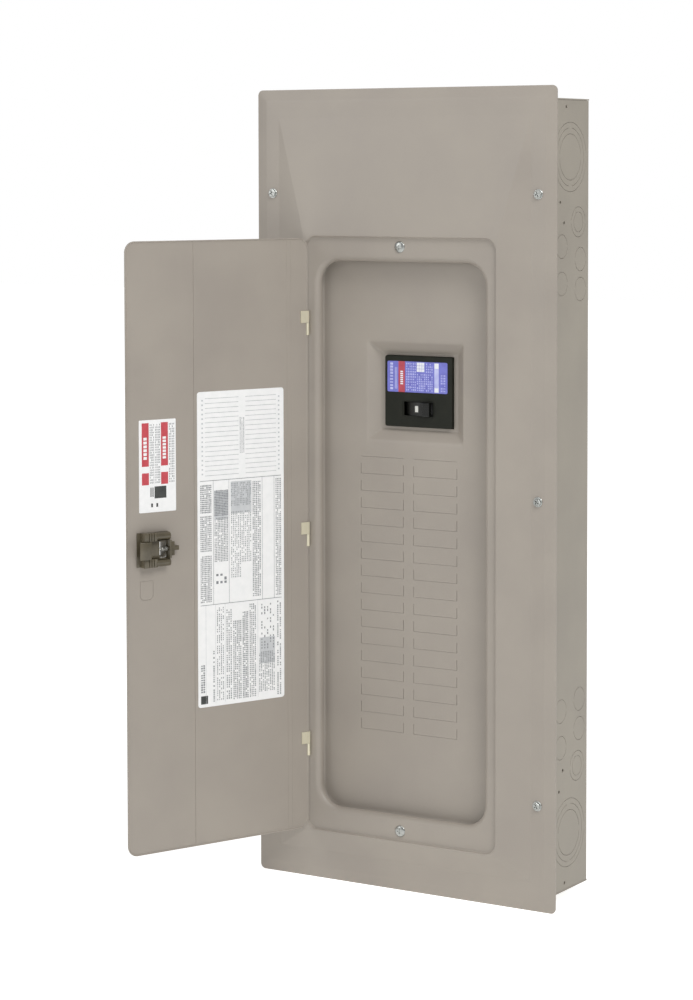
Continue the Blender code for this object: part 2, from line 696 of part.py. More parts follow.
def door_panel(door_axis):
    """A flat pan with its edge returned inwards, notched at the hinges and pierced for the latch."""
    half_x = (DOOR_END - DOOR_START) / 2
    middle = ((DOOR_START + DOOR_END) / 2, MIDDLE_Z)
    outline = rounded_loop(middle, half_x, DOOR_HALF_Z, DOOR_CORNER)
    rings = [(outline, DOOR_BACK_Y), (outline, DOOR_FACE_Y)]
    door = add_object("door_panel", ringed_sheet_mesh("door", rings, filled=True), TAUPE, door_axis)
    thicken(door, DOOR_SHEET)
    notches = []
    for z in hinge_heights():
        reach_z = HINGE_LENGTH / 2 + SCREW_CLEARANCE
        knuckle_x = HINGE_X + KNUCKLE_RADIUS + GAP
        low = (HINGE_X - CUT_MARGIN, DOOR_FACE_Y - CUT_MARGIN, z - reach_z)
        notches.append((low, (knuckle_x, DOOR_BACK_Y + CUT_MARGIN, z + reach_z)))
    boolean(door, boxes_mesh("hinge_notches", notches))
    x0, x1 = latch_window_x()
    low = (x0, DOOR_FACE_Y - CUT_MARGIN, MIDDLE_Z - latch_window_half_z())
    high = (x1, DOOR_INNER_Y + CUT_MARGIN, MIDDLE_Z + latch_window_half_z())
    boolean(door, boxes_mesh("latch_window", [(low, high)]))


def door_labels(door_axis):
    """Paper labels on the inner face: the circuit directory and a smaller caution notice."""
    front = DOOR_INNER_Y + LABEL_GAP
    back = front + LABEL_SHEET
    middle_x = HINGE_X + DIRECTORY_FROM_HINGE + DIRECTORY_WIDTH / 2
    middle = (middle_x, MIDDLE_Z + DIRECTORY_RISE)
    loop = rounded_loop(middle, DIRECTORY_WIDTH / 2, DIRECTORY_HEIGHT / 2, 3 * MM, 3)
    add_object("directory_label", extruded_mesh("directory", [loop], "XZ", front, back), PAPER, door_axis)
    middle = (DOOR_END - CAUTION_FROM_FREE_EDGE, MIDDLE_Z + CAUTION_RISE)
    loop = rounded_loop(middle, CAUTION_WIDTH / 2, CAUTION_HEIGHT / 2, 1 * MM, 2)
    add_object("caution_label", extruded_mesh("caution", [loop], "XZ", front, back), PAPER, door_axis)


# Door latch.


def latch_end_x():
    """The latch's free end, which just clears the opening's lip."""
    return OPENING_HALF_X - LATCH_EDGE_GAP


def latch_window_x():
    start = latch_end_x() - LATCH_WIDTH + 2 * LATCH_WALL
    return start, start + LATCH_WINDOW


def latch_window_half_z():
    return LATCH_HALF_HEIGHT - 2 * LATCH_WALL


def latch_channel_half_z():
    return latch_window_half_z() - 2 * LATCH_WALL


def latch_housing(door_axis):
    """A moulded frame snapped into the door's window: a bezel outside, a foot and a channel box inside."""
    end = latch_end_x()
    start = end - LATCH_WIDTH
    window = latch_window_x()
    half = LATCH_HALF_HEIGHT
    neck = latch_window_half_z() - GAP
    foot_y = DOOR_INNER_Y + GAP
    top_y = foot_y + LATCH_DEPTH
    body = boxes_mesh("latch_body", [((start, foot_y, MIDDLE_Z - half), (end, top_y, MIDDLE_Z + half))])
    housing = add_object("latch_housing", body, BRONZE, door_axis)
    low = (window[0] + GAP, DOOR_FACE_Y - GAP - BEZEL_HEIGHT / 2, MIDDLE_Z - neck)
    high = (window[1] - GAP, foot_y + LATCH_WALL, MIDDLE_Z + neck)
    boolean(housing, boxes_mesh("latch_neck", [(low, high)]), "UNION")
    rim = neck + BEZEL_RIM
    low = (window[0] - BEZEL_RIM, DOOR_FACE_Y - GAP - BEZEL_HEIGHT, MIDDLE_Z - rim)
    high = (window[1] + BEZEL_RIM, DOOR_FACE_Y - GAP, MIDDLE_Z + rim)
    boolean(housing, boxes_mesh("latch_bezel", [(low, high)]), "UNION")
    low = (end - LATCH_WALL, foot_y, MIDDLE_Z - half)
    high = (end + LATCH_FOOT, DOOR_BACK_Y - GAP / 2, MIDDLE_Z + half)
    boolean(housing, boxes_mesh("latch_foot", [(low, high)]), "UNION")
    channel = latch_channel_half_z()
    floor_y = foot_y + LATCH_WALL
    low = (start + LATCH_WALL, floor_y, MIDDLE_Z - channel)
    high = (end + CUT_MARGIN, top_y + CUT_MARGIN, MIDDLE_Z + channel)
    boolean(housing, boxes_mesh("latch_channel", [(low, high)]))
    finger = channel - LATCH_WALL
    low = (window[0] + LATCH_WALL, DOOR_FACE_Y - 5 * CUT_MARGIN, MIDDLE_Z - finger)
    high = (window[1] - LATCH_WALL, floor_y + CUT_MARGIN, MIDDLE_Z + finger)
    boolean(housing, boxes_mesh("latch_finger_window", [(low, high)]))


def latch_slide(door_axis):
    """The sliding bolt: a plate with a finger tab in the window and a hook that catches behind the lip."""
    slide_axis = add_axis("latch_slide_axis", (latch_end_x(), DOOR_INNER_Y, MIDDLE_Z), door_axis)
    end = latch_end_x()
    channel = latch_channel_half_z() - GAP
    floor_y = DOOR_INNER_Y + GAP + LATCH_WALL + GAP
    plate_y = floor_y + 2.4 * MM
    hook_y = LIP_BACK_Y + 2 * GAP
    plate_start = end - LATCH_WINDOW
    profile = [
        (plate_start, floor_y),
        (end, floor_y),
        (end, hook_y),
        (OPENING_HALF_X + LATCH_HOOK - 1.5 * MM, hook_y),
        (OPENING_HALF_X + LATCH_HOOK, hook_y + 1 * MM),
        (end, hook_y + 3.2 * MM),
        (end - 7 * MM, hook_y + 3.2 * MM),
        (end - 7 * MM, plate_y),
        (plate_start, plate_y),
    ]
    mesh = extruded_mesh("latch_bolt", [profile], "XY", MIDDLE_Z - channel, MIDDLE_Z + channel)
    slide = add_object("latch_slide", mesh, BRONZE, door_axis)
    slide.parent = slide_axis
    slide.matrix_parent_inverse = Matrix.Translation(slide_axis["closed_at"]).inverted()
    window = latch_window_x()
    tab_end = window[1] - LATCH_WALL - GAP
    tab_half = latch_channel_half_z() - LATCH_WALL - GAP
    low = (tab_end - LATCH_TAB, DOOR_FACE_Y - CUT_MARGIN, MIDDLE_Z - tab_half)
    high = (tab_end, floor_y + CUT_MARGIN, MIDDLE_Z + tab_half)
    boolean(slide, boxes_mesh("latch_tab", [(low, high)]), "UNION")


def latch_spring(door_axis):
    """A small compression spring between the housing's end wall and the bolt's plate."""
    start = latch_end_x() - LATCH_WIDTH + LATCH_WALL + GAP + SPRING_WIRE
    end = latch_end_x() - LATCH_WINDOW - GAP - SPRING_WIRE
    middle_y = DOOR_INNER_Y + GAP + LATCH_WALL + GAP + SPRING_RADIUS + SPRING_WIRE
    curve = bpy.data.curves.new("spring", "CURVE")
    curve.dimensions = "3D"
    curve.bevel_depth = SPRING_WIRE
    curve.bevel_resolution = 1
    curve.use_fill_caps = True
    steps = SPRING_TURNS * 8
    spline = curve.splines.new("POLY")
    spline.points.add(steps)
    for i, point in enumerate(spline.points):
        turn = 2 * math.pi * SPRING_TURNS * i / steps
        x = start + (end - start) * i / steps
        y = middle_y + SPRING_RADIUS * math.cos(turn)
        point.co = (x, y, MIDDLE_Z + SPRING_RADIUS * math.sin(turn), 1)
    spring = bpy.data.objects.new("latch_spring", curve)
    curve.materials.append(SPRING_STEEL)
    PARTS.objects.link(spring)
    spring.parent = door_axis
    spring.matrix_parent_inverse = Matrix.Translation(door_axis["closed_at"]).inverted()


# Dead front.


def twistout_loops():
    """Shear lines: each twistout hangs on by the upper part of its two sides."""
    half = SHEAR_GAP / 2
    loops = []
    for side in (1, -1):
        near = TWIST_BAR / 2
        far = near + TWIST_WIDTH
        u0, u1 = sorted((side * near, side * far))
        loops.append(rectangle(u0, u1, ROWS_TOP - half, ROWS_TOP + half))
        for row in range(1, ROWS + 1):
            v = ROWS_TOP - row * TWIST_PITCH
            up = v + TWIST_SIDE
            loops.append(
                [
                    (u0 - half, v - half),
                    (u1 + half, v - half),
                    (u1 + half, up),
                    (u1 - half, up),
                    (u1 - half, v + half),
                    (u0 + half, v + half),
                    (u0 + half, up),
                    (u0 - half, up),
                ]
            )
    return loops


def dead_front():
    """A pan behind the trim's opening, with the breaker's pocket, the twistouts and two fixing tabs."""
    half_x, half_z = OPENING_HALF_X + TRAY_MARGIN, OPENING_HALF_Z + TRAY_MARGIN
    middle, pocket = (0, MIDDLE_Z), (BREAKER_X, BREAKER_Z)
    edge_y = STRIP_BACK_Y + TRAY_SHEET
    sharp = 1.0 * MM
    tray = rounded_loop(middle, half_x, half_z, TRAY_CORNER)
    rings = [
        (tray, edge_y),
        (tray, PAN_Y),
        (rounded_loop(pocket, POCKET_FLOOR_X + POCKET_SLOPE, POCKET_FLOOR_Z + POCKET_SLOPE, sharp), PAN_Y),
        (rounded_loop(pocket, POCKET_FLOOR_X, POCKET_FLOOR_Z, sharp), POCKET_Y),
        (rounded_loop(pocket, BREAKER_WIDTH / 2 + GAP, BREAKER_HEIGHT / 2 + GAP, sharp), POCKET_Y),
    ]
    front = add_object("dead_front", ringed_sheet_mesh("dead_front", rings), TAUPE)
    thicken(front, TRAY_SHEET)
    tabs = []
    tab_front = STRIP_BACK_Y + GAP
    for side in (1, -1):
        z0, z1 = sorted((MIDDLE_Z + side * (half_z + 0.2 * MM), MIDDLE_Z + side * (FRONT_SCREW_Z + 7 * MM)))
        tabs.append(((-TAB_WIDTH / 2, tab_front, z0), (TAB_WIDTH / 2, edge_y + TRAY_SHEET, z1)))
    boolean(front, boxes_mesh("screw_tabs", tabs), "UNION")
    holes = [(x, edge_y, z) for x, z in front_screw_places()]
    boolean(front, cylinders_mesh("tab_holes", holes, SCREW_SHANK + SCREW_CLEARANCE, 6 * TRAY_SHEET, "Y"))
    start, stop = PAN_Y - CUT_MARGIN, PAN_Y + TRAY_SHEET + CUT_MARGIN
    boolean(front, extruded_mesh("shear_lines", twistout_loops(), "XZ", start, stop))


# Main breaker.


def main_breaker_cover():
    half_x, half_z = BREAKER_WIDTH / 2, BREAKER_HEIGHT / 2
    back_y = FACE_Y + BREAKER_COVER_DEPTH
    loop = rounded_loop((BREAKER_X, BREAKER_Z), half_x, half_z, 2 * MM, 3)
    body = extruded_mesh("breaker_cover", [loop], "XZ", FACE_Y, back_y)
    cover = add_object("main_breaker_cover", body, BLACK)
    room = HANDLE_RADIUS * math.sin(HANDLE_SECTOR + HANDLE_THROW) + 1.5 * MM
    tall = SLOT_HEIGHT / 2 + 5 * MM
    low = (BREAKER_X - room, FACE_Y + BREAKER_WALL, HANDLE_Z - tall)
    high = (BREAKER_X + room, back_y + CUT_MARGIN, HANDLE_Z + tall)
    boolean(cover, boxes_mesh("handle_cavity", [(low, high)]))
    low = (BREAKER_X - SLOT_WIDTH / 2, FACE_Y - CUT_MARGIN, HANDLE_Z - SLOT_HEIGHT / 2)
    high = (BREAKER_X + SLOT_WIDTH / 2, FACE_Y + BREAKER_WALL + CUT_MARGIN, HANDLE_Z + SLOT_HEIGHT / 2)
    boolean(cover, boxes_mesh("handle_slot", [(low, high)]))


def main_breaker_base():
    """The rear half of the case, with the handle's two bearing posts and a pocket for each line lug."""
    front_y = FACE_Y + BREAKER_COVER_DEPTH + GAP
    back_y = BUS_Y - GAP
    half_x, half_z = BREAKER_BASE_WIDTH / 2, BREAKER_BASE_HEIGHT / 2
    low = (BREAKER_X - half_x, front_y, BREAKER_Z - half_z)
    high = (BREAKER_X + half_x, back_y, BREAKER_Z + half_z)
    base = add_object("main_breaker_base", boxes_mesh("breaker_base", [(low, high)]), BLACK)
    bore = AXLE_RADIUS + HINGE_CLEARANCE
    for side in (1, -1):
        ends = (SLOT_HEIGHT / 2, SLOT_HEIGHT / 2 + AXLE_POST)
        start, stop = sorted(HANDLE_Z + side * end for end in ends)
        wide = AXLE_RADIUS + 3 * MM
        post = arc((BREAKER_X, HANDLE_Y), wide, math.pi, 2 * math.pi, 8)
        post += [(BREAKER_X + wide, front_y + 1 * MM), (BREAKER_X - wide, front_y + 1 * MM)]
        loops = [post, circle((BREAKER_X, HANDLE_Y), bore, 16)]
        boolean(base, extruded_mesh("bearing_post", loops, "XY", start, stop), "UNION")
    pockets = []
    for x in lug_places():
        reach = LUG_WIDTH / 2 + GAP
        bottom = BREAKER_Z + half_z - LUG_HEIGHT - GAP
        low = (x - reach, front_y - CUT_MARGIN, bottom)
        high = (x + reach, front_y + LUG_DEPTH - LUG_PROUD, BREAKER_Z + half_z + CUT_MARGIN)
        pockets.append((low, high))
    boolean(base, boxes_mesh("lug_pockets", pockets))


def lug_places():
    offset = LUG_WIDTH / 2 + 8 * MM
    return BREAKER_X - offset, BREAKER_X + offset


def line_lugs():
    """Aluminium box lugs for the service conductors, bored for the wire and tapped for its screw."""
    front_y = FACE_Y + BREAKER_COVER_DEPTH + GAP
    top = BREAKER_Z + BREAKER_BASE_HEIGHT / 2
    for name, x in zip(("left", "right"), lug_places()):
        back = front_y + LUG_DEPTH - LUG_PROUD - GAP
        block = ((x - LUG_WIDTH / 2, back - LUG_DEPTH, top - LUG_HEIGHT), (x + LUG_WIDTH / 2, back, top))
        lug = add_object(f"line_lug_{name}", boxes_mesh("lug", [block]), ALUMINIUM)
        middle = (x, back - LUG_DEPTH / 2, top - LUG_HEIGHT / 2)
        boolean(lug, cylinders_mesh("wire_bore", [middle], LUG_BORE, 2 * LUG_HEIGHT, "Z", 16))
        middle = (x, back - LUG_DEPTH, top - LUG_HEIGHT / 2)
        boolean(lug, cylinders_mesh("set_screw_bore", [middle], LUG_BORE * 0.8, LUG_DEPTH, "Y", 12))


def rating_label():
    back = FACE_Y - LABEL_GAP
    middle = (BREAKER_X - 1.0 * MM, BREAKER_Z + RATING_LABEL_RISE)
    loop = rounded_loop(middle, RATING_LABEL_WIDTH / 2, RATING_LABEL_HEIGHT / 2, 1.5 * MM, 2)
    add_object("rating_label", extruded_mesh("rating", [loop], "XZ", back - LABEL_SHEET, back), RATING)


def main_breaker_handle():
    """A barrel sector that closes the slot, with a lever that swings to the right for on."""
    axis = add_axis("handle_axis", (BREAKER_X, HANDLE_Y, HANDLE_Z))
    lever_root = math.sqrt(HANDLE_RADIUS**2 - (HANDLE_LEVER / 2) ** 2)
    ahead = math.atan2(HANDLE_LEVER / 2, lever_root)
    inner = HANDLE_RADIUS - 4 * MM
    start, stop = -math.pi / 2 - HANDLE_SECTOR, -math.pi / 2 + HANDLE_SECTOR
    centre = (BREAKER_X, HANDLE_Y)
    outline = arc(centre, HANDLE_RADIUS, start, -math.pi / 2 - ahead, 6)
    outline += [
        (BREAKER_X - HANDLE_LEVER / 2 + 1 * MM, HANDLE_Y - HANDLE_REACH),
        (BREAKER_X + HANDLE_LEVER / 2 - 1 * MM, HANDLE_Y - HANDLE_REACH),
    ]
    outline += arc(centre, HANDLE_RADIUS, -math.pi / 2 + ahead, stop, 6)
    outline += arc(centre, inner, stop, -math.pi / 2 + 0.35, 4)
    outline += arc(centre, AXLE_RADIUS + 2 * MM, -math.pi / 2 + 0.6, 1.5 * math.pi - 0.6, 10)
    outline += arc(centre, inner, -math.pi / 2 - 0.35, start, 4)
    half = SLOT_HEIGHT / 2 - GAP
    mesh = extruded_mesh("handle", [outline], "XY", HANDLE_Z - half, HANDLE_Z + half)
    handle = add_object("main_breaker_handle", mesh, BLACK, axis)
    axle_length = SLOT_HEIGHT + 2 * AXLE_POST - 2 * GAP
    middle = (BREAKER_X, HANDLE_Y, HANDLE_Z)
    boolean(handle, cylinders_mesh("axle", [middle], AXLE_RADIUS, axle_length, "Z", 16), "UNION")
    smooth_round_faces(handle)
    axis.rotation_euler = (0, 0, HANDLE_THROW)


# Bus interior.


def interior_screw_places():
    x = HAT_HALF_WIDTH + HAT_FOOT / 2
    top, bottom = interior_top() - HAT_MARGIN, ROWS_BOTTOM - HAT_MARGIN / 3
    return [(x, top), (-x, top), (x, bottom), (-x, bottom)]


def interior_top():
    return BREAKER_Z + BREAKER_BASE_HEIGHT / 2


def interior_pan():
    """A hat-section steel pan that carries the bus and stands on the box's back."""
    web, leg, foot = HAT_HALF_WIDTH, HAT_HALF_WIDTH - HAT_SHEET, HAT_HALF_WIDTH + HAT_FOOT
    under = WALL_Y - HAT_SHEET
    profile = [
        (-foot, WALL_Y),
        (-foot, under),
        (-web, under),
        (-web, HAT_Y),
        (web, HAT_Y),
        (web, under),
        (foot, under),
        (foot, WALL_Y),
        (leg, WALL_Y),
        (leg, HAT_Y + HAT_SHEET),
        (-leg, HAT_Y + HAT_SHEET),
        (-leg, WALL_Y),
    ]
    bottom = ROWS_BOTTOM - HAT_MARGIN
    pan = add_object("interior_pan", extruded_mesh("pan", [profile], "XY", bottom, interior_top()), ZINC)
    holes = [(x, under, z) for x, z in interior_screw_places()]
    boolean(pan, cylinders_mesh("foot_holes", holes, SCREW_SHANK + SCREW_CLEARANCE, 6 * HAT_SHEET, "Y"))


def bus_supports():
    """Moulded blocks between the pan's web and the bus bars."""
    half = BUS_SPREAD / 2 + BUS_WIDTH
    places = (ROWS_TOP + SUPPORT_HEIGHT, ROWS_BOTTOM + SUPPORT_HEIGHT / 2)
    for name, z in zip(("upper", "lower"), places):
        low = (-half, BUS_BACK_Y + GAP, z - SUPPORT_HEIGHT / 2)
        high = (half, HAT_Y - GAP, z + SUPPORT_HEIGHT / 2)
        add_object(f"bus_support_{name}", boxes_mesh("support", [(low, high)]), SUPPORT)


def bus_bars():
    """Two bars whose stabs take turns down the middle, so that neighbouring poles are on opposite legs."""
    for name, side, first in (("a", -1, 0), ("b", 1, 1)):
        near, far = side * BUS_SPREAD / 2, side * (BUS_SPREAD / 2 + BUS_WIDTH)
        tip = -side * BUS_SPREAD / 3
        points = [(far, interior_top() - LUG_HEIGHT), (far, ROWS_BOTTOM), (near, ROWS_BOTTOM)]
        fins = []
        for row in range(ROWS - 1, -1, -1):
            if row % 2 != first:
                continue
            z = ROWS_TOP - (row + 0.5) * TWIST_PITCH
            low, high = z - STAB_HEIGHT / 2, z + STAB_HEIGHT / 2
            points += [(near, low), (tip, low), (tip, high), (near, high)]
            x0, x1 = sorted((tip, -tip / 2))
            corner = (x1, BUS_Y + CUT_MARGIN, z + STAB_FIN / 2)
            fins.append(((x0, BUS_Y - STAB_REACH, z - STAB_FIN / 2), corner))
        points.append((near, interior_top() - LUG_HEIGHT))
        bar = extruded_mesh(f"bus_{name}", [points], "XZ", BUS_Y, BUS_BACK_Y)
        boolean(add_object(f"bus_bar_{name}", bar, PLATED_BUS), boxes_mesh(f"stabs_{name}", fins), "UNION")


def breaker_rails():
    """Hooked rails that the outer end of each branch breaker clips under."""
    for name, side in (("left", -1), ("right", 1)):
        foot_y = HAT_Y - GAP
        top_y = foot_y - RAIL_HEIGHT
        x = RAIL_X
        profile = [
            (x - 8 * MM, foot_y),
            (x - 8 * MM, foot_y - RAIL_SHEET),
            (x, foot_y - RAIL_SHEET),
            (x, top_y),
            (x + RAIL_HOOK, top_y),
            (x + RAIL_HOOK, top_y + RAIL_SHEET),
            (x + RAIL_SHEET, top_y + RAIL_SHEET),
            (x + RAIL_SHEET, foot_y),
        ]
        loop = [(side * u, v) for u, v in profile]
        rail = extruded_mesh("rail", [loop], "XY", ROWS_BOTTOM, ROWS_TOP)
        add_object(f"breaker_rail_{name}", rail, ZINC)


def terminal_heights():
    top = ROWS_TOP - 20 * MM
    step = (top - NEUTRAL_BOTTOM - STRAP_WIDTH - 20 * MM) / (TERMINAL_COUNT - 1)
    return [top - i * step for i in range(TERMINAL_COUNT)]


def neutral_bars():
    """Terminal bars on both sides of the breakers, joined below them by a strap, with the neutral's lug."""
    half = NEUTRAL_WIDTH / 2
    for name, side in (("left", -1), ("right", 1)):
        x = side * NEUTRAL_X
        low = (x - half, NEUTRAL_Y, NEUTRAL_BOTTOM)
        high = (x + half, NEUTRAL_Y + NEUTRAL_DEPTH, ROWS_TOP)
        bar = add_object(f"neutral_bar_{name}", boxes_mesh("neutral", [(low, high)]), ALUMINIUM)
        wires = [(x, NEUTRAL_Y + NEUTRAL_DEPTH * 0.6, z) for z in terminal_heights()]
        boolean(bar, cylinders_mesh("wire_holes", wires, TERMINAL_RADIUS, 2 * NEUTRAL_WIDTH, "X", 8))
        for level, z in (("upper", ROWS_TOP - 8 * MM), ("lower", NEUTRAL_BOTTOM + 8 * MM)):
            block = ((x - half, WALL_Y - NEUTRAL_STANDOFF, z - 8 * MM), (x + half, WALL_Y, z + 8 * MM))
            add_object(f"neutral_standoff_{level}_{name}", boxes_mesh("standoff", [block]), SUPPORT)
    strap_y = NEUTRAL_Y - GAP
    reach = NEUTRAL_X + half
    low = (-reach, strap_y - STRAP_SHEET, NEUTRAL_BOTTOM)
    high = (reach, strap_y, NEUTRAL_BOTTOM + STRAP_WIDTH)
    add_object("neutral_strap", boxes_mesh("strap", [(low, high)]), ALUMINIUM)
    x = -NEUTRAL_X
    bottom = ROWS_TOP + GAP
    low = (x - LUG_WIDTH / 2, NEUTRAL_Y - NEUTRAL_LUG_PROUD, bottom)
    high = (x + LUG_WIDTH / 2, NEUTRAL_Y + NEUTRAL_DEPTH, bottom + LUG_HEIGHT)
    lug = add_object("neutral_lug", boxes_mesh("neutral_lug", [(low, high)]), ALUMINIUM)
    middle = (x, NEUTRAL_Y + 2 * MM, bottom + LUG_HEIGHT / 2)
    boolean(lug, cylinders_mesh("neutral_wire_bore", [middle], LUG_BORE, 2 * LUG_HEIGHT, "Z", 16))


def ground_bar():
    """A bare bar screwed to the back wall for the equipment grounds."""
    bottom = NEUTRAL_BOTTOM
    low = (GROUND_X - NEUTRAL_WIDTH / 2, WALL_Y - NEUTRAL_DEPTH, bottom)
    high = (GROUND_X + NEUTRAL_WIDTH / 2, WALL_Y, bottom + GROUND_LENGTH)
    bar = add_object("ground_bar", boxes_mesh("ground", [(low, high)]), ALUMINIUM)
    count = TERMINAL_COUNT - 3
    step = (GROUND_LENGTH - 24 * MM) / (count - 1)
    wires = [(GROUND_X, WALL_Y - NEUTRAL_DEPTH * 0.6, bottom + 12 * MM + i * step) for i in range(count)]
    boolean(bar, cylinders_mesh("ground_holes", wires, TERMINAL_RADIUS, 2 * NEUTRAL_WIDTH, "X", 8))


def bonding_strap():
    """A bent strap from the neutral strap to the box's back, which grounds the neutral."""
    bottom = NEUTRAL_BOTTOM - GAP
    top_y = NEUTRAL_Y - GAP - STRAP_SHEET - GAP
    profile = [
        (top_y, bottom + STRAP_WIDTH),
        (top_y - STRAP_SHEET, bottom + STRAP_WIDTH),
        (top_y - STRAP_SHEET, bottom - STRAP_SHEET),
        (WALL_Y - STRAP_SHEET, bottom - STRAP_SHEET),
        (WALL_Y - STRAP_SHEET, bottom - STRAP_SHEET - STRAP_WIDTH),
        (WALL_Y, bottom - STRAP_SHEET - STRAP_WIDTH),
        (WALL_Y, bottom),
        (top_y, bottom),
    ]
    x = NEUTRAL_X
    strap = extruded_mesh("bond", [profile], "YZ", x - 6 * MM, x + 6 * MM)
    add_object("bonding_strap", strap, COPPER)


def build():
    enclosure_wrap()
    end_wall("top_end_wall", 1)
    end_wall("bottom_end_wall", -1)
    interior_pan()
    bus_supports()
    bus_bars()
    breaker_rails()
    neutral_bars()
    ground_bar()
    bonding_strap()
    main_breaker_base()
    main_breaker_cover()
    main_breaker_handle()
    line_lugs()
    rating_label()
    dead_front()
    trim_cover()
    fasteners()
    door_axis = add_axis("door_hinge_axis", (HINGE_X, HINGE_Y, MIDDLE_Z))
    hinges(door_axis)
    door_panel(door_axis)
    door_labels(door_axis)
    latch_housing(door_axis)
    latch_slide(door_axis)
    latch_spring(door_axis)
    door_axis.rotation_euler = (0, 0, -DOOR_OPEN)


build()
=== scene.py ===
"""The looks of a residential load center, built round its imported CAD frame.

Units are metres. +X is right seen from the front, the front faces -Y and +Z is up.
"""

import json
import math

import bmesh
import bpy
from mathutils import Matrix, Vector


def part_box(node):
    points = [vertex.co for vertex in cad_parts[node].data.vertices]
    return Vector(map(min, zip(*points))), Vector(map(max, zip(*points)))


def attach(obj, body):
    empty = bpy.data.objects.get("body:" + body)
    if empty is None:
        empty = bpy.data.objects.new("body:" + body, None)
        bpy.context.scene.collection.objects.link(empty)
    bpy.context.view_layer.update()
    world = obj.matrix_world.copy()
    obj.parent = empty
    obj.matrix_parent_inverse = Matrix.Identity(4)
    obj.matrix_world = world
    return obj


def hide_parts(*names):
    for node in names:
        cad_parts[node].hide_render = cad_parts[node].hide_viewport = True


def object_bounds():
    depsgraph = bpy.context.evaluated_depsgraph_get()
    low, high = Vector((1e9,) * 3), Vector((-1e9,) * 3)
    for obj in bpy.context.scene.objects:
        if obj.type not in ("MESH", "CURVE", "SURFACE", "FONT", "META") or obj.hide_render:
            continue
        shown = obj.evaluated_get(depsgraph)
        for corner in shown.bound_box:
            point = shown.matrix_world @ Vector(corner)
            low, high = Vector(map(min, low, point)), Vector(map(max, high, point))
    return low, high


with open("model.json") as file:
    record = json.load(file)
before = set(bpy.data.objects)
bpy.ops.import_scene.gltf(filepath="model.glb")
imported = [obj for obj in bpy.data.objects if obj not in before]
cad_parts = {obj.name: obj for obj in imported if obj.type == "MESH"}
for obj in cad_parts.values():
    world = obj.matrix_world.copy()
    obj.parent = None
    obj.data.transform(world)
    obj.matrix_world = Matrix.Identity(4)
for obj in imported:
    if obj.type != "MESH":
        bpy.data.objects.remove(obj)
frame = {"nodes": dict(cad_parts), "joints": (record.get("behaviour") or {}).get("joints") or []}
cad_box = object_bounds()
MM = 0.001


# ---------------------------------------------------------------------------
# Wall box: galvanised steel, one sheet folded into back, sides and front flanges and powder coated, with two
# folded end caps. Its knockouts are sheared almost all round and left hanging on short ties.

SHEET = 1.5 * MM
FOLD_RADIUS = 1.6 * MM
CUT_DEPTH = 0.9 * MM
SHEAR = 0.45 * MM
TIE = math.radians(14)


def linear(hex_colour):
    """An sRGB hex value as a linear colour."""
    parts = [int(hex_colour[i : i + 2], 16) / 255 for i in (0, 2, 4)]
    return (*[p / 12.92 if p <= 0.04045 else ((p + 0.055) / 1.055) ** 2.4 for p in parts], 1.0)


def add_node(tree, kind, inputs=None, **settings):
    """Adds a node with its settings. An input takes either a value or another node's socket."""
    node = tree.nodes.new(kind)
    for name, value in settings.items():
        setattr(node, name, value)
    for key, value in (inputs or {}).items():
        if isinstance(value, bpy.types.NodeSocket):
            tree.links.new(value, node.inputs[key])
        else:
            node.inputs[key].default_value = value
    return node


def start_material(name, roughness, **sockets):
    """A material with only its Principled shader, and the object's own coordinates to draw on."""
    material = bpy.data.materials.new(name)
    material.use_nodes = True
    tree = material.node_tree
    shader = tree.nodes["Principled BSDF"]
    shader.inputs["Roughness"].default_value = roughness
    for key, value in sockets.items():
        shader.inputs[key.replace("_", " ")].default_value = value
    place = add_node(tree, "ShaderNodeTexCoord").outputs["Object"]
    return material, tree, shader, place


def noise(tree, place, scale, detail):
    """A cloudy pattern from 0 to 1."""
    inputs = {"Vector": place, "Scale": scale, "Detail": detail}
    return add_node(tree, "ShaderNodeTexNoise", inputs).outputs["Fac"]


def tinted(tree, shader, source, low, high, start=0.3, end=0.7):
    """Colours the shader from one tone to the other as the source rises."""
    tone = add_node(tree, "ShaderNodeValToRGB", {"Fac": source})
    for element, position, colour in zip(tone.color_ramp.elements, (start, end), (low, high)):
        element.position, element.color = position, linear(colour)
    tree.links.new(tone.outputs["Color"], shader.inputs["Base Color"])


def varied_gloss(tree, shader, source, low, high, start=0.0, end=1.0):
    """Moves the roughness between two values as the source rises."""
    inputs = {"Value": source, "From Min": start, "From Max": end, "To Min": low, "To Max": high}
    gloss = add_node(tree, "ShaderNodeMapRange", inputs)
    tree.links.new(gloss.outputs[0], shader.inputs["Roughness"])


def relief(tree, shader, height, strength, distance):
    """Raises the surface a little with the height."""
    bump = add_node(tree, "ShaderNodeBump", {"Height": height, "Strength": strength, "Distance": distance})
    tree.links.new(bump.outputs["Normal"], shader.inputs["Normal"])


def powder_coat(name, low, high, dusty=0.0):
    """Thermoset polyester powder on steel: a satin film with a fine orange peel, a little mottled in tone."""
    peel_size, cloud_size, speck_size = 1.3 * MM, 90 * MM, 0.9 * MM
    material, tree, shader, place = start_material(name, 0.42, Coat_Weight=0.12, Coat_Roughness=0.3)
    cloud = noise(tree, place, 1 / cloud_size, 3.0)
    speck = noise(tree, place, 1 / speck_size, 1.0)
    blend = add_node(tree, "ShaderNodeMath", {0: speck, 1: 0.22, 2: cloud}, operation="MULTIPLY_ADD")
    tinted(tree, shader, blend.outputs[0], low, high, 0.42, 0.78)
    varied_gloss(tree, shader, cloud, 0.4 + dusty, 0.5 + dusty, 0.3, 0.7)
    relief(tree, shader, noise(tree, place, 1 / peel_size, 2.0), 0.25, 0.03 * MM)
    return material


BOX_PAINT = powder_coat("powder_coat_box", "9a9388", "a39c90", dusty=0.06)


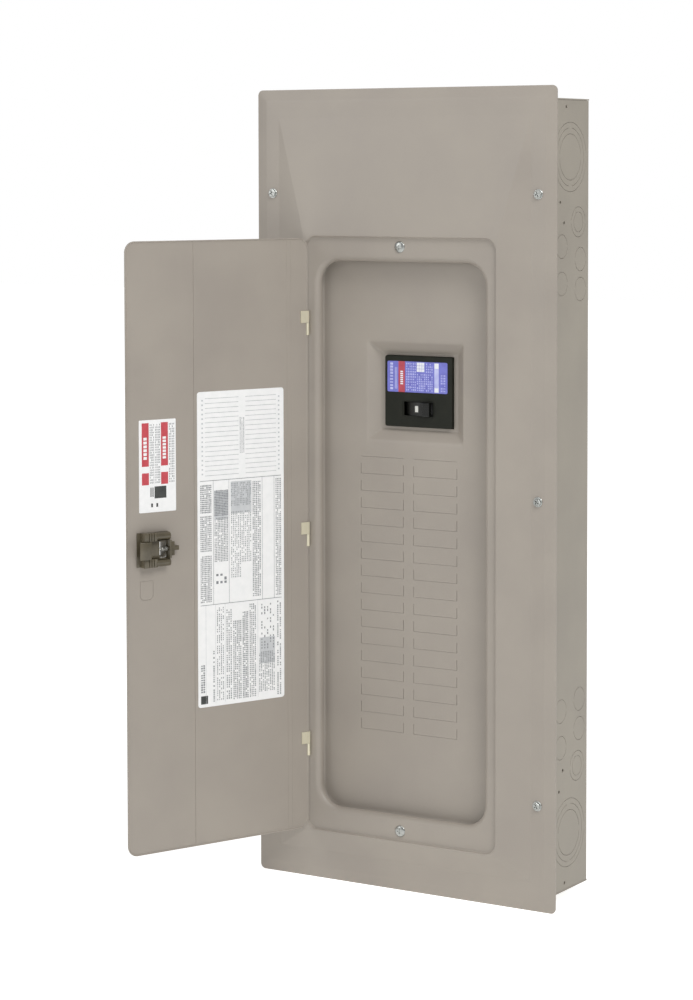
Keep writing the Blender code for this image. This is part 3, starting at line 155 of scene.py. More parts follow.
def arc(centre, radius, start, end, steps):
    """Points on an arc, both ends included."""
    turns = [start + (end - start) * i / steps for i in range(steps + 1)]
    return [(centre[0] + radius * math.cos(t), centre[1] + radius * math.sin(t)) for t in turns]


def circle(centre, radius, steps):
    """A closed round outline."""
    return arc(centre, radius, 0, 2 * math.pi, steps)[:-1]


def rectangle(x0, x1, z0, z1):
    """A closed outline with its corners in order."""
    return [(x0, z0), (x1, z0), (x1, z1), (x0, z1)]


def rounded_path(corners, radius, steps=4):
    """A closed outline whose corners are turned into arcs, as far as the sides allow."""
    path = []
    for i, corner in enumerate(corners):
        here = Vector(corner)
        before, after = Vector(corners[i - 1]), Vector(corners[(i + 1) % len(corners)])
        reach = min(radius, (before - here).length * 0.45, (after - here).length * 0.45)
        start = here + (before - here).normalized() * reach
        end = here + (after - here).normalized() * reach
        for step in range(steps + 1):
            t = step / steps
            path.append(tuple(start * (1 - t) ** 2 + here * 2 * t * (1 - t) + end * t**2))
    return path


def taken(shape, name):
    """The mesh of a finished bmesh."""
    mesh = bpy.data.meshes.new(name)
    shape.to_mesh(mesh)
    shape.free()
    return mesh


def linked(name, data):
    """A new object in the scene."""
    made = bpy.data.objects.new(name, data)
    bpy.context.scene.collection.objects.link(made)
    return made


def prism(outline, low, high, axis="Z"):
    """A closed mesh of an outline drawn out along an axis. The outline is in the other two axes, in order."""
    shape = bmesh.new()
    order = {
        "X": lambda u, v, w: (w, u, v),
        "Y": lambda u, v, w: (u, w, v),
        "Z": lambda u, v, w: (u, v, w),
    }[axis]
    bottom = [shape.verts.new(order(u, v, low)) for u, v in outline]
    top = [shape.verts.new(order(u, v, high)) for u, v in outline]
    shape.faces.new(bottom)
    shape.faces.new(top)
    for i in range(len(outline)):
        j = (i + 1) % len(outline)
        shape.faces.new((bottom[i], bottom[j], top[j], top[i]))
    bmesh.ops.recalc_face_normals(shape, faces=shape.faces)
    return taken(shape, "prism")


def add_piece(name, mesh, material):
    """A new visible object at the origin, with flat faces smoothed only across gentle folds."""
    piece = linked(name, mesh)
    mesh.materials.clear()
    mesh.materials.append(material)
    mesh.shade_smooth()
    mesh.set_sharp_from_angle(angle=math.radians(32))
    return piece


def finished(piece):
    """Turns the piece's modifiers into plain mesh."""
    graph = bpy.context.evaluated_depsgraph_get()
    mesh = bpy.data.meshes.new_from_object(piece.evaluated_get(graph))
    piece.modifiers.clear()
    piece.data = mesh
    return piece


def cut(piece, mesh, operation="DIFFERENCE"):
    """Cuts the mesh out of the piece, or joins it on, and keeps only the result."""
    tool = linked("tool", mesh)
    change = piece.modifiers.new("cut", "BOOLEAN")
    change.operation = operation
    change.object = tool
    finished(piece)
    bpy.data.objects.remove(tool)
    piece.data.set_sharp_from_angle(angle=math.radians(32))
    return piece


def joined(meshes):
    """One mesh from several."""
    shape = bmesh.new()
    for mesh in meshes:
        shape.from_mesh(mesh)
    return taken(shape, "joined")


def ring_sectors(centre, radius, ties, turn, low, high, axis):
    """Cutters for one round shear line, which its ties interrupt."""
    sectors = []
    span = 2 * math.pi / ties
    for i in range(ties):
        start, end = turn + i * span + TIE / 2, turn + (i + 1) * span - TIE / 2
        steps = max(8, int(40 / ties))
        outline = arc(centre, radius, start, end, steps) + arc(centre, radius - SHEAR, end, start, steps)
        sectors.append(prism(outline, low, high, axis))
    return sectors


wrap_low, wrap_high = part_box("enclosure_wrap")
half_box = wrap_high.x
front_y = wrap_low.y
FRONT_FLANGE = 16 * MM
flange = half_box - FRONT_FLANGE
outside = [
    (flange, front_y),
    (half_box, front_y),
    (half_box, 0),
    (-half_box, 0),
    (-half_box, front_y),
    (-flange, front_y),
    (-flange, front_y + SHEET),
    (-half_box + SHEET, front_y + SHEET),
    (-half_box + SHEET, -SHEET),
    (half_box - SHEET, -SHEET),
    (half_box - SHEET, front_y + SHEET),
    (flange, front_y + SHEET),
]
folded_sheet = prism(rounded_path(outside, FOLD_RADIUS), wrap_low.z, wrap_high.z)
wall_box = add_piece("wall_box", folded_sheet, BOX_PAINT)

# Knockouts in a side wall: distance behind the box's front edge, height, radii of the nested rings.
SIDE_KNOCKOUTS = (
    (57.1 * MM, 366.4 * MM, (37.5 * MM, 31.5 * MM, 25.0 * MM)),
    (76.4 * MM, 296.5 * MM, (16.5 * MM, 11.0 * MM)),
    (38.1 * MM, 270.7 * MM, (13.0 * MM,)),
    (81.4 * MM, 256.2 * MM, (13.0 * MM,)),
    (38.1 * MM, 230.8 * MM, (13.0 * MM,)),
    (81.4 * MM, 223.8 * MM, (13.0 * MM,)),
)
SMALL_HOLES = ((34.4 * MM, 318.0 * MM), (43.0 * MM, 296.0 * MM), (47.8 * MM, 420.0 * MM))
HOLE_RADIUS = 1.8 * MM


def knockouts(places, low, high, axis):
    """Cutters for nested rings, each ring's ties turned away from the one outside it."""
    cutters = []
    for u, v, radii in places:
        for level, radius in enumerate(radii):
            cutters += ring_sectors((u, v), radius, 2, math.pi / 2 * (level % 2), low, high, axis)
    return cutters


for side in (1, -1):
    low, high = sorted((side * (half_box - CUT_DEPTH), side * (half_box + CUT_DEPTH)))
    places = [(front_y + d, end * z, radii) for d, z, radii in SIDE_KNOCKOUTS for end in (1, -1)]
    cut(wall_box, joined(knockouts(places, low, high, "X")))
    holes = [(front_y + d, end * z) for d, z in SMALL_HOLES for end in (1, -1)]
    low, high = sorted((side * (half_box - 3 * SHEET), side * (half_box + SHEET)))
    drilled = [prism(circle(hole, HOLE_RADIUS, 20), low, high, "X") for hole in holes]
    cut(wall_box, joined(drilled))

BOX_HALF_HEIGHT = 429 * MM
MOUNTING_INSET = 45 * MM
KEYHOLE_RADIUS = 4 * MM
mounting = []
for x_side in (1, -1):
    for z_side in (1, -1):
        centre = (x_side * (half_box - MOUNTING_INSET), z_side * (BOX_HALF_HEIGHT - MOUNTING_INSET))
        mounting.append(prism(circle(centre, KEYHOLE_RADIUS, 24), -3 * SHEET, SHEET, "Y"))
cut(wall_box, joined(mounting))
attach(wall_box, "enclosure")
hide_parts("enclosure_wrap")

# End caps: each is a flat plate whose four edges are folded inwards.
END_KNOCKOUTS = (
    (-118 * MM, 50 * MM, (16.5 * MM, 11.0 * MM)),
    (-66 * MM, 50 * MM, (13.0 * MM,)),
    (0.0, 50 * MM, (37.5 * MM, 31.5 * MM, 25.0 * MM)),
    (66 * MM, 50 * MM, (13.0 * MM,)),
    (118 * MM, 50 * MM, (16.5 * MM, 11.0 * MM)),
)
for node, side in (("top_end_wall", 1), ("bottom_end_wall", -1)):
    source = frame["nodes"][node].data.copy()
    shape = bmesh.new()
    shape.from_mesh(source)
    bmesh.ops.remove_doubles(shape, verts=shape.verts, dist=1e-6)
    shape.to_mesh(source)
    shape.free()
    cap = add_piece(node + "_cap", source, BOX_PAINT)
    top = side * BOX_HALF_HEIGHT
    low, high = sorted((top - side * CUT_DEPTH, top + side * CUT_DEPTH))
    places = [(x, front_y + d, radii[1:]) for x, d, radii in END_KNOCKOUTS if len(radii) > 1]
    cut(cap, joined(knockouts(places, low, high, "Z")))
    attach(cap, "enclosure")
    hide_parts(node)


# ---------------------------------------------------------------------------
# Interior: a galvanised hat-section pan, moulded supports, two tin-plated bus bars with stabs, breaker rails
# and extruded aluminium terminal bars. They keep their CAD shapes and get their metals and mouldings here.


def rolled_metal(name, low, high, roughness, grain=0.35 * MM, along=2, bump_strength=0.3):
    """Bare or plated metal with the fine parallel streaks that rolling, drawing or extruding leaves."""
    material, tree, shader, place = start_material(name, roughness, Metallic=1.0)
    stretch = [1 / grain] * 3
    stretch[along] = 1 / (40 * grain)
    streaks = add_node(tree, "ShaderNodeMapping", {"Vector": place, "Scale": stretch})
    streak = noise(tree, streaks.outputs[0], 1.0, 3.0)
    tinted(tree, shader, streak, low, high)
    varied_gloss(tree, shader, streak, roughness - 0.08, roughness + 0.12)
    relief(tree, shader, streak, bump_strength, 0.02 * MM)
    return material


def galvanised(name):
    """Hot-dip zinc on sheet steel: crystals of spangle 6 mm across, each a slightly different grey."""
    spangle = 6 * MM
    material, tree, shader, place = start_material(name, 0.4, Metallic=1.0)
    cells = add_node(tree, "ShaderNodeTexVoronoi", {"Vector": place, "Scale": 1 / spangle})
    tinted(tree, shader, cells.outputs["Color"], "b9bcbc", "d3d6d4", 0.0, 1.0)
    varied_gloss(tree, shader, cells.outputs["Color"], 0.32, 0.48)
    return material


def moulded_plastic(name, low, high, roughness, grain=0.5 * MM):
    """A compression or injection moulding: a fine spark-eroded texture and a faint flow mottling."""
    material, tree, shader, place = start_material(name, roughness)
    flow = noise(tree, place, 1 / (14 * MM), 2.0)
    tinted(tree, shader, flow, low, high, 0.35, 0.7)
    relief(tree, shader, noise(tree, place, 1 / grain, 2.0), 0.3, 0.03 * MM)
    varied_gloss(tree, shader, flow, roughness - 0.06, roughness + 0.08)
    return material


GALVANISED = galvanised("galvanised_sheet")
TIN_PLATE = rolled_metal("tin_plated_bus", "bdb9b2", "d2cfc8", 0.36)
EXTRUDED = rolled_metal("extruded_aluminium", "b4b7b9", "cccecf", 0.38)
COPPER = rolled_metal("bare_copper", "b5764c", "cf946a", 0.34)
POLYESTER = moulded_plastic("moulded_polyester", "66635e", "75726c", 0.6)


def finish_nodes(material, *nodes):
    """A CAD node keeps its mesh and takes this material."""
    for node in nodes:
        shown = frame["nodes"][node].data
        shown.materials.clear()
        shown.materials.append(material)


finish_nodes(GALVANISED, "interior_pan", "breaker_rail_left", "breaker_rail_right")
finish_nodes(TIN_PLATE, "bus_bar_a", "bus_bar_b")
finish_nodes(POLYESTER, "bus_support_upper", "bus_support_lower")
for level in ("upper", "lower"):
    finish_nodes(POLYESTER, f"neutral_standoff_{level}_left", f"neutral_standoff_{level}_right")
finish_nodes(EXTRUDED, "neutral_bar_left", "neutral_bar_right", "ground_bar", "neutral_strap", "neutral_lug")
finish_nodes(EXTRUDED, "line_lug_left", "line_lug_right")
finish_nodes(COPPER, "bonding_strap")


# ---------------------------------------------------------------------------
# Screws: zinc-plated steel with a bright chromate, cold headed as a washer-faced hexagon with a cross recess.
# The terminal bars' set screws are short slotted studs of the same finish.

HEAD_RADIUS = 5.5 * MM
WASHER_HEIGHT = 0.7 * MM
SEATING = 0.3 * MM
HEX_RADIUS = 4.4 * MM
HEAD_HEIGHT = 2.6 * MM
CROSS_WIDTH = 1.2 * MM
CROSS_REACH = 2.7 * MM
FLAT_HEAD_HEIGHT = 1.5 * MM
FLAT_HEAD_RADIUS = 6.3 * MM
SET_SCREW_RADIUS = 2.2 * MM
SET_SCREW_HEIGHT = 1.4 * MM

ZINC = rolled_metal("bright_zinc_plate", "9c9e9c", "c6c8c4", 0.27, grain=0.25 * MM, along=0)


def turned(profile, sides):
    """A closed turned shape about the Y axis from (radius, y) points, the first and last on the axis."""
    shape = bmesh.new()
    rows = []
    for radius, y in profile:
        if radius == 0:
            rows.append([shape.verts.new((0, y, 0))])
        else:
            rows.append([shape.verts.new((x, y, z)) for x, z in circle((0, 0), radius, sides)])
    for first, second in zip(rows, rows[1:]):
        for i in range(sides):
            j = (i + 1) % sides
            a, b = len(first), len(second)
            corners = [first[i % a], first[j % a], second[j % b], second[i % b]]
            shape.faces.new(list(dict.fromkeys(corners)))
    bmesh.ops.recalc_face_normals(shape, faces=shape.faces)
    return taken(shape, "turned")


def driven(head, top, depth):
    """Cuts a cross recess into a head and hands back its mesh alone."""
    half = CROSS_WIDTH / 2
    arm = rectangle(-CROSS_REACH, CROSS_REACH, -half, half)
    for turn in (0, math.pi / 2):
        recess = prism(arm, -top - depth, -top + depth, "Y")
        recess.transform(Matrix.Rotation(turn, 4, "Y"))
        cut(head, recess)
    mesh = head.data
    bpy.data.objects.remove(head)
    return mesh


def hex_head():
    """A washer-faced hexagon head, seated on y = 0 and facing -Y."""
    washer = [
        (0, SEATING),
        (HEAD_RADIUS, SEATING),
        (HEAD_RADIUS, -0.5 * WASHER_HEIGHT),
        (HEAD_RADIUS - 0.35 * MM, -WASHER_HEIGHT),
        (0, -WASHER_HEIGHT),
    ]
    crown = [
        (0, 0),
        (HEX_RADIUS, 0),
        (HEX_RADIUS, -0.72 * HEAD_HEIGHT),
        (0.82 * HEX_RADIUS, -HEAD_HEIGHT),
        (0, -HEAD_HEIGHT),
    ]
    head = add_piece("head", turned(washer, 32), ZINC)
    cut(head, turned(crown, 6), "UNION")
    return driven(head, HEAD_HEIGHT, 0.6 * HEAD_HEIGHT)


def flat_head():
    """A low domed head, for the dead front's screws."""
    turns = (0, 0.3, 0.6, 0.9, 1.2)
    dome = [(FLAT_HEAD_RADIUS * math.cos(t), -FLAT_HEAD_HEIGHT * math.sin(t)) for t in turns]
    profile = [(0, SEATING), (FLAT_HEAD_RADIUS, SEATING), *dome, (0, -FLAT_HEAD_HEIGHT)]
    head = add_piece("head", turned(profile, 32), ZINC)
    return driven(head, FLAT_HEAD_HEIGHT, 0.7 * FLAT_HEAD_HEIGHT)


def set_screw():
    """A slotted stud, seated on y = 0."""
    radius, top = SET_SCREW_RADIUS, -SET_SCREW_HEIGHT
    profile = [(0, SEATING), (radius, SEATING), (radius, top), (0, top)]
    stud = add_piece("stud", turned(profile, 16), ZINC)
    half = 0.4 * MM
    wide = 2 * SET_SCREW_RADIUS
    slot = rectangle(-wide, wide, -half, half)
    cut(stud, prism(slot, -2 * SET_SCREW_HEIGHT, -0.4 * SET_SCREW_HEIGHT, "Y"))
    mesh = stud.data
    bpy.data.objects.remove(stud)
    return mesh


def group_socket(tree, name, kind, in_out="INPUT"):
    return tree.interface.new_socket(name=name, in_out=in_out, socket_type=kind)


def fastener_tree():
    """Geometry Nodes: sets one fastener on each point, each turned by its own amount about Y."""
    tree = bpy.data.node_groups.new("fasteners_on_points", "GeometryNodeTree")
    group_socket(tree, "Places", "NodeSocketGeometry")
    group_socket(tree, "Fastener", "NodeSocketObject")
    group_socket(tree, "Size", "NodeSocketFloat")
    group_socket(tree, "Largest Turn", "NodeSocketFloat")
    group_socket(tree, "Seed", "NodeSocketInt")
    group_socket(tree, "Finish", "NodeSocketMaterial")
    group_socket(tree, "Fasteners", "NodeSocketGeometry", "OUTPUT")
    given = add_node(tree, "NodeGroupInput").outputs
    shape = add_node(tree, "GeometryNodeObjectInfo", {"Object": given["Fastener"]})
    points = add_node(tree, "GeometryNodeMeshToPoints", {"Mesh": given["Places"]})
    turn = add_node(
        tree,
        "FunctionNodeRandomValue",
        {"Max": given["Largest Turn"], "Seed": given["Seed"]},
        data_type="FLOAT",
    )
    for socket in turn.inputs:
        if socket.name == "Max" and socket.type == "VALUE":
            tree.links.new(given["Largest Turn"], socket)
    spin = add_node(tree, "ShaderNodeCombineXYZ", {"Y": turn.outputs[1]})
    placed = add_node(
        tree,
        "GeometryNodeInstanceOnPoints",
        {
            "Points": points.outputs[0],
            "Instance": shape.outputs["Geometry"],
            "Rotation": spin.outputs[0],
            "Scale": given["Size"],
        },
    )
    real = add_node(tree, "GeometryNodeRealizeInstances", {"Geometry": placed.outputs[0]})
    paint = {"Geometry": real.outputs[0], "Material": given["Finish"]}
    painted = add_node(tree, "GeometryNodeSetMaterial", paint)
    add_node(tree, "NodeGroupOutput", {0: painted.outputs[0]})
    return tree


def points_mesh(places):
    mesh = bpy.data.meshes.new("places")
    mesh.from_pydata(places, [], [])
    return mesh


def grown(name, tree, source, values):
    """Runs a Geometry Nodes tree over a mesh and keeps the plain result as a new piece."""
    piece = linked(name, source)
    nodes = piece.modifiers.new("nodes", "NODES")
    nodes.node_group = tree
    for socket in tree.interface.items_tree:
        if socket.in_out == "INPUT" and socket.name in values:
            nodes[socket.identifier] = values[socket.name]
    finished(piece)
    used = piece.data.materials[piece.data.polygons[0].material_index]
    piece.data.materials.clear()
    piece.data.materials.append(used)
    piece.data.polygons.foreach_set("material_index", [0] * len(piece.data.polygons))
    return piece


FASTENERS = fastener_tree()


def fasten(name, places, prototype, body, replaced=(), seed=0):
    """Sets copies of a fastener at these places and gives them to a body."""
    holder = linked("prototype", prototype)
    values = {"Fastener": holder, "Size": 1.0, "Largest Turn": math.pi, "Seed": seed, "Finish": ZINC}
    piece = grown(name, FASTENERS, points_mesh(places), values)
    bpy.data.objects.remove(holder)
    piece.data.shade_smooth()
    piece.data.set_sharp_from_angle(angle=math.radians(32))
    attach(piece, body)
    if replaced:
        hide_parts(*replaced)
    return piece


def seats(nodes, overhang):
    """Where each screw's head bears, from its CAD node."""
    places = []
    for node in nodes:
        low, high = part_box(node)
        places.append(((low.x + high.x) / 2, low.y + overhang, (low.z + high.z) / 2))
    return places


HEX_HEAD = hex_head()
cover_screws = [f"cover_screw_{i}" for i in range(1, 7)]
places = seats(cover_screws, HEAD_HEIGHT)
fasten("trim_cover_screws", places, HEX_HEAD, "enclosure", cover_screws, seed=3)
front_screws = ["dead_front_screw_top", "dead_front_screw_bottom"]
places = seats(front_screws, FLAT_HEAD_HEIGHT)
fasten("dead_front_screws", places, flat_head(), "enclosure", front_screws, seed=5)
pan_screws = [f"interior_screw_{i}" for i in range(1, 5)]
places = seats(pan_screws, HEAD_HEIGHT)
fasten("interior_pan_screws", places, HEX_HEAD, "enclosure", pan_screws, seed=8)

SET_SCREW = set_screw()
NEUTRAL_TERMINALS = 9
GROUND_TERMINALS = 6
terminals = []
for node, count, top_margin, bottom_margin in (
    ("neutral_bar_left", NEUTRAL_TERMINALS, 20 * MM, 34 * MM),
    ("neutral_bar_right", NEUTRAL_TERMINALS, 20 * MM, 34 * MM),
    ("ground_bar", GROUND_TERMINALS, 12 * MM, 12 * MM),
):
    low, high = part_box(node)
    for i in range(count):
        z = high.z - top_margin - (high.z - low.z - top_margin - bottom_margin) * i / (count - 1)
        terminals.append(((low.x + high.x) / 2, low.y, z))
fasten("terminal_set_screws", terminals, SET_SCREW, "enclosure", seed=11)


# ---------------------------------------------------------------------------
# Main breaker: a two-part black phenolic case, compression moulded, with a film label over its upper half and
# a handle of the same moulding that swings sideways in a shallow barrel.

EDGE_ROUND = 0.9 * MM
PHENOLIC = moulded_plastic("black_phenolic", "1b1d16", "22241c", 0.6)
PHENOLIC.node_tree.nodes["Principled BSDF"].inputs["Specular IOR Level"].default_value = 0.28
HANDLE_BLACK = moulded_plastic("black_handle_moulding", "0f100e", "171815", 0.4, grain=0.7 * MM)
WHITE_MARK = moulded_plastic("white_filled_mark", "cfcfc9", "deded8", 0.55)
finish_nodes(PHENOLIC, "main_breaker_base")


def bevel(piece, width, segments=2, angle=30):
    """Rounds the sharp edges and keeps the result."""
    change = piece.modifiers.new("edges", "BEVEL")
    change.width = width
    change.segments = segments
    change.limit_method = "ANGLE"
    change.angle_limit = math.radians(angle)
    change.harden_normals = False
    finished(piece)
    piece.data.shade_smooth()
    piece.data.set_sharp_from_angle(angle=math.radians(40))
    return piece


cover_low, cover_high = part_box("main_breaker_cover")
handle_low, handle_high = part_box("main_breaker_handle")
breaker_x = (cover_low.x + cover_high.x) / 2
handle_z = (handle_low.z + handle_high.z) / 2
SLOT_WIDTH = 37.6 * MM
SLOT_HEIGHT = 15.6 * MM
SLOT_SINK = 0.8 * MM
FACE_WALL = 2.5 * MM
CASE_CORNER = 3.0 * MM
outline = rounded_path(rectangle(cover_low.x, cover_high.x, cover_low.z, cover_high.z), CASE_CORNER, 6)
case = add_piece("main_breaker_case_cover", prism(outline, cover_low.y, cover_high.y, "Y"), PHENOLIC)
bevel(case, EDGE_ROUND, 3)
room = 31 * MM
tall = 13 * MM
cavity = rectangle(breaker_x - room, breaker_x + room, handle_z - tall, handle_z + tall)
cut(case, prism(cavity, cover_low.y + FACE_WALL, cover_high.y + FACE_WALL, "Y"))


def slot_outline(grow):
    u, v = SLOT_WIDTH / 2 + grow, SLOT_HEIGHT / 2 + grow
    return rounded_path(rectangle(breaker_x - u, breaker_x + u, handle_z - v, handle_z + v), 1.2 * MM + grow)


cut(case, prism(slot_outline(0), cover_low.y - FACE_WALL, cover_low.y + 2 * FACE_WALL, "Y"))
cut(case, prism(slot_outline(1.6 * MM), cover_low.y - FACE_WALL, cover_low.y + SLOT_SINK * 0.5, "Y"))
# A step runs across the face under the label.
step_z = cover_low.z + 41 * MM
groove = rectangle(cover_low.x + 3 * MM, cover_high.x - 3 * MM, step_z, step_z + 0.8 * MM)
cut(case, prism(groove, cover_low.y - FACE_WALL, cover_low.y + 0.35 * MM, "Y"))
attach(case, "enclosure")
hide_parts("main_breaker_cover")

# The handle: a barrel sector with a ridged lever, its pivot on the joint's axis.
BARREL_RADIUS = 27.5 * MM
BARREL_WALL = 4 * MM
BARREL_SPAN = math.radians(66)
LEVER_WIDTH = 9.3 * MM
LEVER_REACH = 36.5 * MM
throw = next(joint for joint in frame["joints"] if joint["name"] == "main_breaker_throw")
pivot = Vector(throw["pos_m"])
rest_turn = math.radians(-sum(throw["range_deg"]) / 2)
straight = -math.pi / 2
root = math.asin(LEVER_WIDTH / 2 / BARREL_RADIUS)
outline = arc((0, 0), BARREL_RADIUS, straight - BARREL_SPAN, straight - root, 18)
lever_side, shoulder = LEVER_WIDTH / 2, -LEVER_REACH + 0.6 * MM
outline += [(-lever_side + 0.7 * MM, shoulder), (-lever_side + 1.4 * MM, -LEVER_REACH)]
outline += [(lever_side - 1.4 * MM, -LEVER_REACH), (lever_side - 0.7 * MM, shoulder)]
outline += arc((0, 0), BARREL_RADIUS, straight + root, straight + BARREL_SPAN, 18)
outline += arc((0, 0), BARREL_RADIUS - BARREL_WALL, straight + BARREL_SPAN, straight + 0.35, 12)
outline += arc((0, 0), 4.4 * MM, straight + 0.6, straight + 2 * math.pi - 0.6, 20)
outline += arc((0, 0), BARREL_RADIUS - BARREL_WALL, straight - 0.35, straight - BARREL_SPAN, 12)
half = SLOT_HEIGHT / 2 - 0.3 * MM
handle = add_piece("main_breaker_toggle", prism(outline, -half, half), HANDLE_BLACK)
bevel(handle, 0.35 * MM)
cut(handle, prism(circle((0, 0), 2.4 * MM, 24), -half - 3.7 * MM, half + 3.7 * MM), "UNION")
for i in range(-2, 3):
    middle = i * 2.6 * MM
    side, tip, floor = LEVER_WIDTH / 2, -LEVER_REACH - 0.1 * MM, -LEVER_REACH + 0.5 * MM
    cut(handle, prism(rectangle(-side, side, tip, floor), middle - 0.4 * MM, middle + 0.4 * MM))
mark_turn = -math.radians(25)
MARK_HALF_SPAN = 0.075
near, far = straight + mark_turn - MARK_HALF_SPAN, straight + mark_turn + MARK_HALF_SPAN
mark = arc((0, 0), BARREL_RADIUS + 0.05 * MM, near, far, 6)
mark += arc((0, 0), BARREL_RADIUS - 0.5 * MM, far, near, 6)
mark_piece = add_piece("handle_position_mark", prism(mark, -3.4 * MM, 3.4 * MM), WHITE_MARK)
for part in (handle, mark_piece):
    part.data.transform(Matrix.Translation(pivot) @ Matrix.Rotation(rest_turn, 4, "Z"))
    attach(part, "breaker_handle")
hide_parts("main_breaker_handle")


# ---------------------------------------------------------------------------
# Labels: coated paper on the door and a polyester film on the breaker, both printed. The print is thin raised
# ink: rules, bands and rows of strokes that stand for text, none of them readable.

INK_HEIGHT = 0.03 * MM


def printed(name, low, high, roughness=0.55, coat=0.0):
    """Ink or paper: even colour with the faint unevenness of a press run."""
    material, tree, shader, place = start_material(name, roughness, Coat_Weight=coat, Coat_Roughness=0.2)
    tinted(tree, shader, noise(tree, place, 1 / (7 * MM), 4.0), low, high)
    relief(tree, shader, noise(tree, place, 1 / (0.4 * MM), 2.0), 0.15, 0.02 * MM)
    return material


PAPER = printed("coated_paper", "f4f5f5", "fbfbfb")
GREY_INK = printed("grey_print", "74777b", "8d9094")
PALE_INK = printed("pale_print", "c6c9cc", "d2d4d6")
RULE_INK = printed("ruled_lines", "b4b6b8", "c2c4c6")
DARK_INK = printed("dark_print", "3a3d3c", "4a4d4b")
RED_INK = printed("red_print", "c2454f", "cf535c")
BLUE_FILM = printed("blue_printed_film", "6a6cc6", "7a7ed6", 0.38, 0.4)
LILAC_INK = printed("lilac_print", "b0b4ec", "ccd0f8", 0.4, 0.4)
WHITE_INK = printed("white_print", "e9ecf6", "f4f6fb", 0.4, 0.4)
RED_FILM = printed("red_printed_film", "b23a4c", "c44a5a", 0.38, 0.4)


def stroke_tree():
    """Geometry Nodes: a grid of flat strokes in X and Z, shortened at random and with some left out."""
    tree = bpy.data.node_groups.new("ink_strokes", "GeometryNodeTree")
    group_socket(tree, "Corner", "NodeSocketGeometry")
    sizes = ("Width", "Height", "Stroke Length", "Stroke Width", "Ink Height")
    for name in (*sizes, "Shortest", "Share Printed"):
        group_socket(tree, name, "NodeSocketFloat")
    for name in ("Columns", "Rows", "Seed"):
        group_socket(tree, name, "NodeSocketInt")
    group_socket(tree, "Ink", "NodeSocketMaterial")
    group_socket(tree, "Strokes", "NodeSocketGeometry", "OUTPUT")
    given = add_node(tree, "NodeGroupInput").outputs
    grid = add_node(
        tree,
        "GeometryNodeMeshGrid",
        {
            "Size X": given["Width"],
            "Size Y": given["Height"],
            "Vertices X": given["Columns"],
            "Vertices Y": given["Rows"],
        },
    )
    upright = add_node(
        tree, "GeometryNodeTransform", {"Geometry": grid.outputs[0], "Rotation": (math.pi / 2, 0, 0)}
    )
    keep = add_node(tree, "FunctionNodeRandomValue", {"Seed": given["Seed"]}, data_type="BOOLEAN")
    tree.links.new(given["Share Printed"], keep.inputs["Probability"])
    points = add_node(
        tree, "GeometryNodeMeshToPoints", {"Mesh": upright.outputs[0], "Selection": keep.outputs[3]}
    )
    sides = (given["Stroke Length"], given["Ink Height"], given["Stroke Width"])
    sized = add_node(tree, "ShaderNodeCombineXYZ", dict(enumerate(sides)))
    stroke = add_node(tree, "GeometryNodeMeshCube", {"Size": sized.outputs[0]})
    shorter = add_node(tree, "FunctionNodeRandomValue", {"Seed": given["Seed"]}, data_type="FLOAT")
    shorter.inputs[3].default_value = 1.0
    tree.links.new(given["Shortest"], shorter.inputs[2])
    scale = add_node(tree, "ShaderNodeCombineXYZ", {0: shorter.outputs[1], 1: 1.0, 2: 1.0})
    placed = add_node(
        tree,
        "GeometryNodeInstanceOnPoints",
        {"Points": points.outputs[0], "Instance": stroke.outputs[0], "Scale": scale.outputs[0]},
    )
    real = add_node(tree, "GeometryNodeRealizeInstances", {"Geometry": placed.outputs[0]})
    paint = {"Geometry": real.outputs[0], "Material": given["Ink"]}
    painted = add_node(tree, "GeometryNodeSetMaterial", paint)
    add_node(tree, "NodeGroupOutput", {0: painted.outputs[0]})
    return tree


STROKES = stroke_tree()


def stroke_field(ink, wide, tall, size, columns, rows, shortest=1.0, share=1.0, seed=0):
    """The stroke tree's mesh. Size is one stroke's length, height off the surface and width."""
    values = {
        "Width": wide,
        "Height": tall,
        "Stroke Length": size[0],
        "Ink Height": size[1],
        "Stroke Width": size[2],
        "Shortest": shortest,
        "Share Printed": share,
        "Columns": columns,
        "Rows": rows,
        "Seed": seed,
        "Ink": ink,
    }
    field = grown("field", STROKES, points_mesh([(0, 0, 0)]), values)
    mesh = field.data
    bpy.data.objects.remove(field)
    return mesh


def strokes(
    ink,
    low,
    high,
    columns,
    rows,
    length=0.9,
    width=0.4,
    shortest=1.0,
    share=1.0,
    seed=0,
    upright=False,
    layer=1,
):
    """Ink strokes over a field given in the label's own u and v. Length and width are shares of the pitch.
    Upright strokes run along v, as on a label that was printed to be read from its side."""
    (u0, v0), (u1, v1) = low, high
    across, along = (v1 - v0, u1 - u0) if upright else (u1 - u0, v1 - v0)
    pitch_across, pitch_along = across / columns, along / rows
    size = (length * pitch_across, 2 * layer * INK_HEIGHT, width * pitch_along)
    wide, tall = across - pitch_across, along - pitch_along
    mesh = stroke_field(ink, wide, tall, size, columns, rows, shortest, share, seed)
    if upright:
        mesh.transform(Matrix.Rotation(math.pi / 2, 4, "Y"))
    mesh.transform(Matrix.Translation(((u0 + u1) / 2, 0, (v0 + v1) / 2)))
    return mesh


def label_piece(name, body, meshes, place):
    """Joins a label's print into one piece, keeping each ink, and puts it in its place."""
    inks = []
    shape = bmesh.new()
    for mesh in meshes:
        ink = mesh.materials[0]
        if ink not in inks:
            inks.append(ink)
        start = len(shape.faces)
        shape.from_mesh(mesh)
        shape.faces.ensure_lookup_table()
        for face in shape.faces[start:]:
            face.material_index = inks.index(ink)
    whole = taken(shape, name)
    for ink in inks:
        whole.materials.append(ink)
    whole.transform(place)
    piece = linked(name, whole)
    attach(piece, body)
    return piece


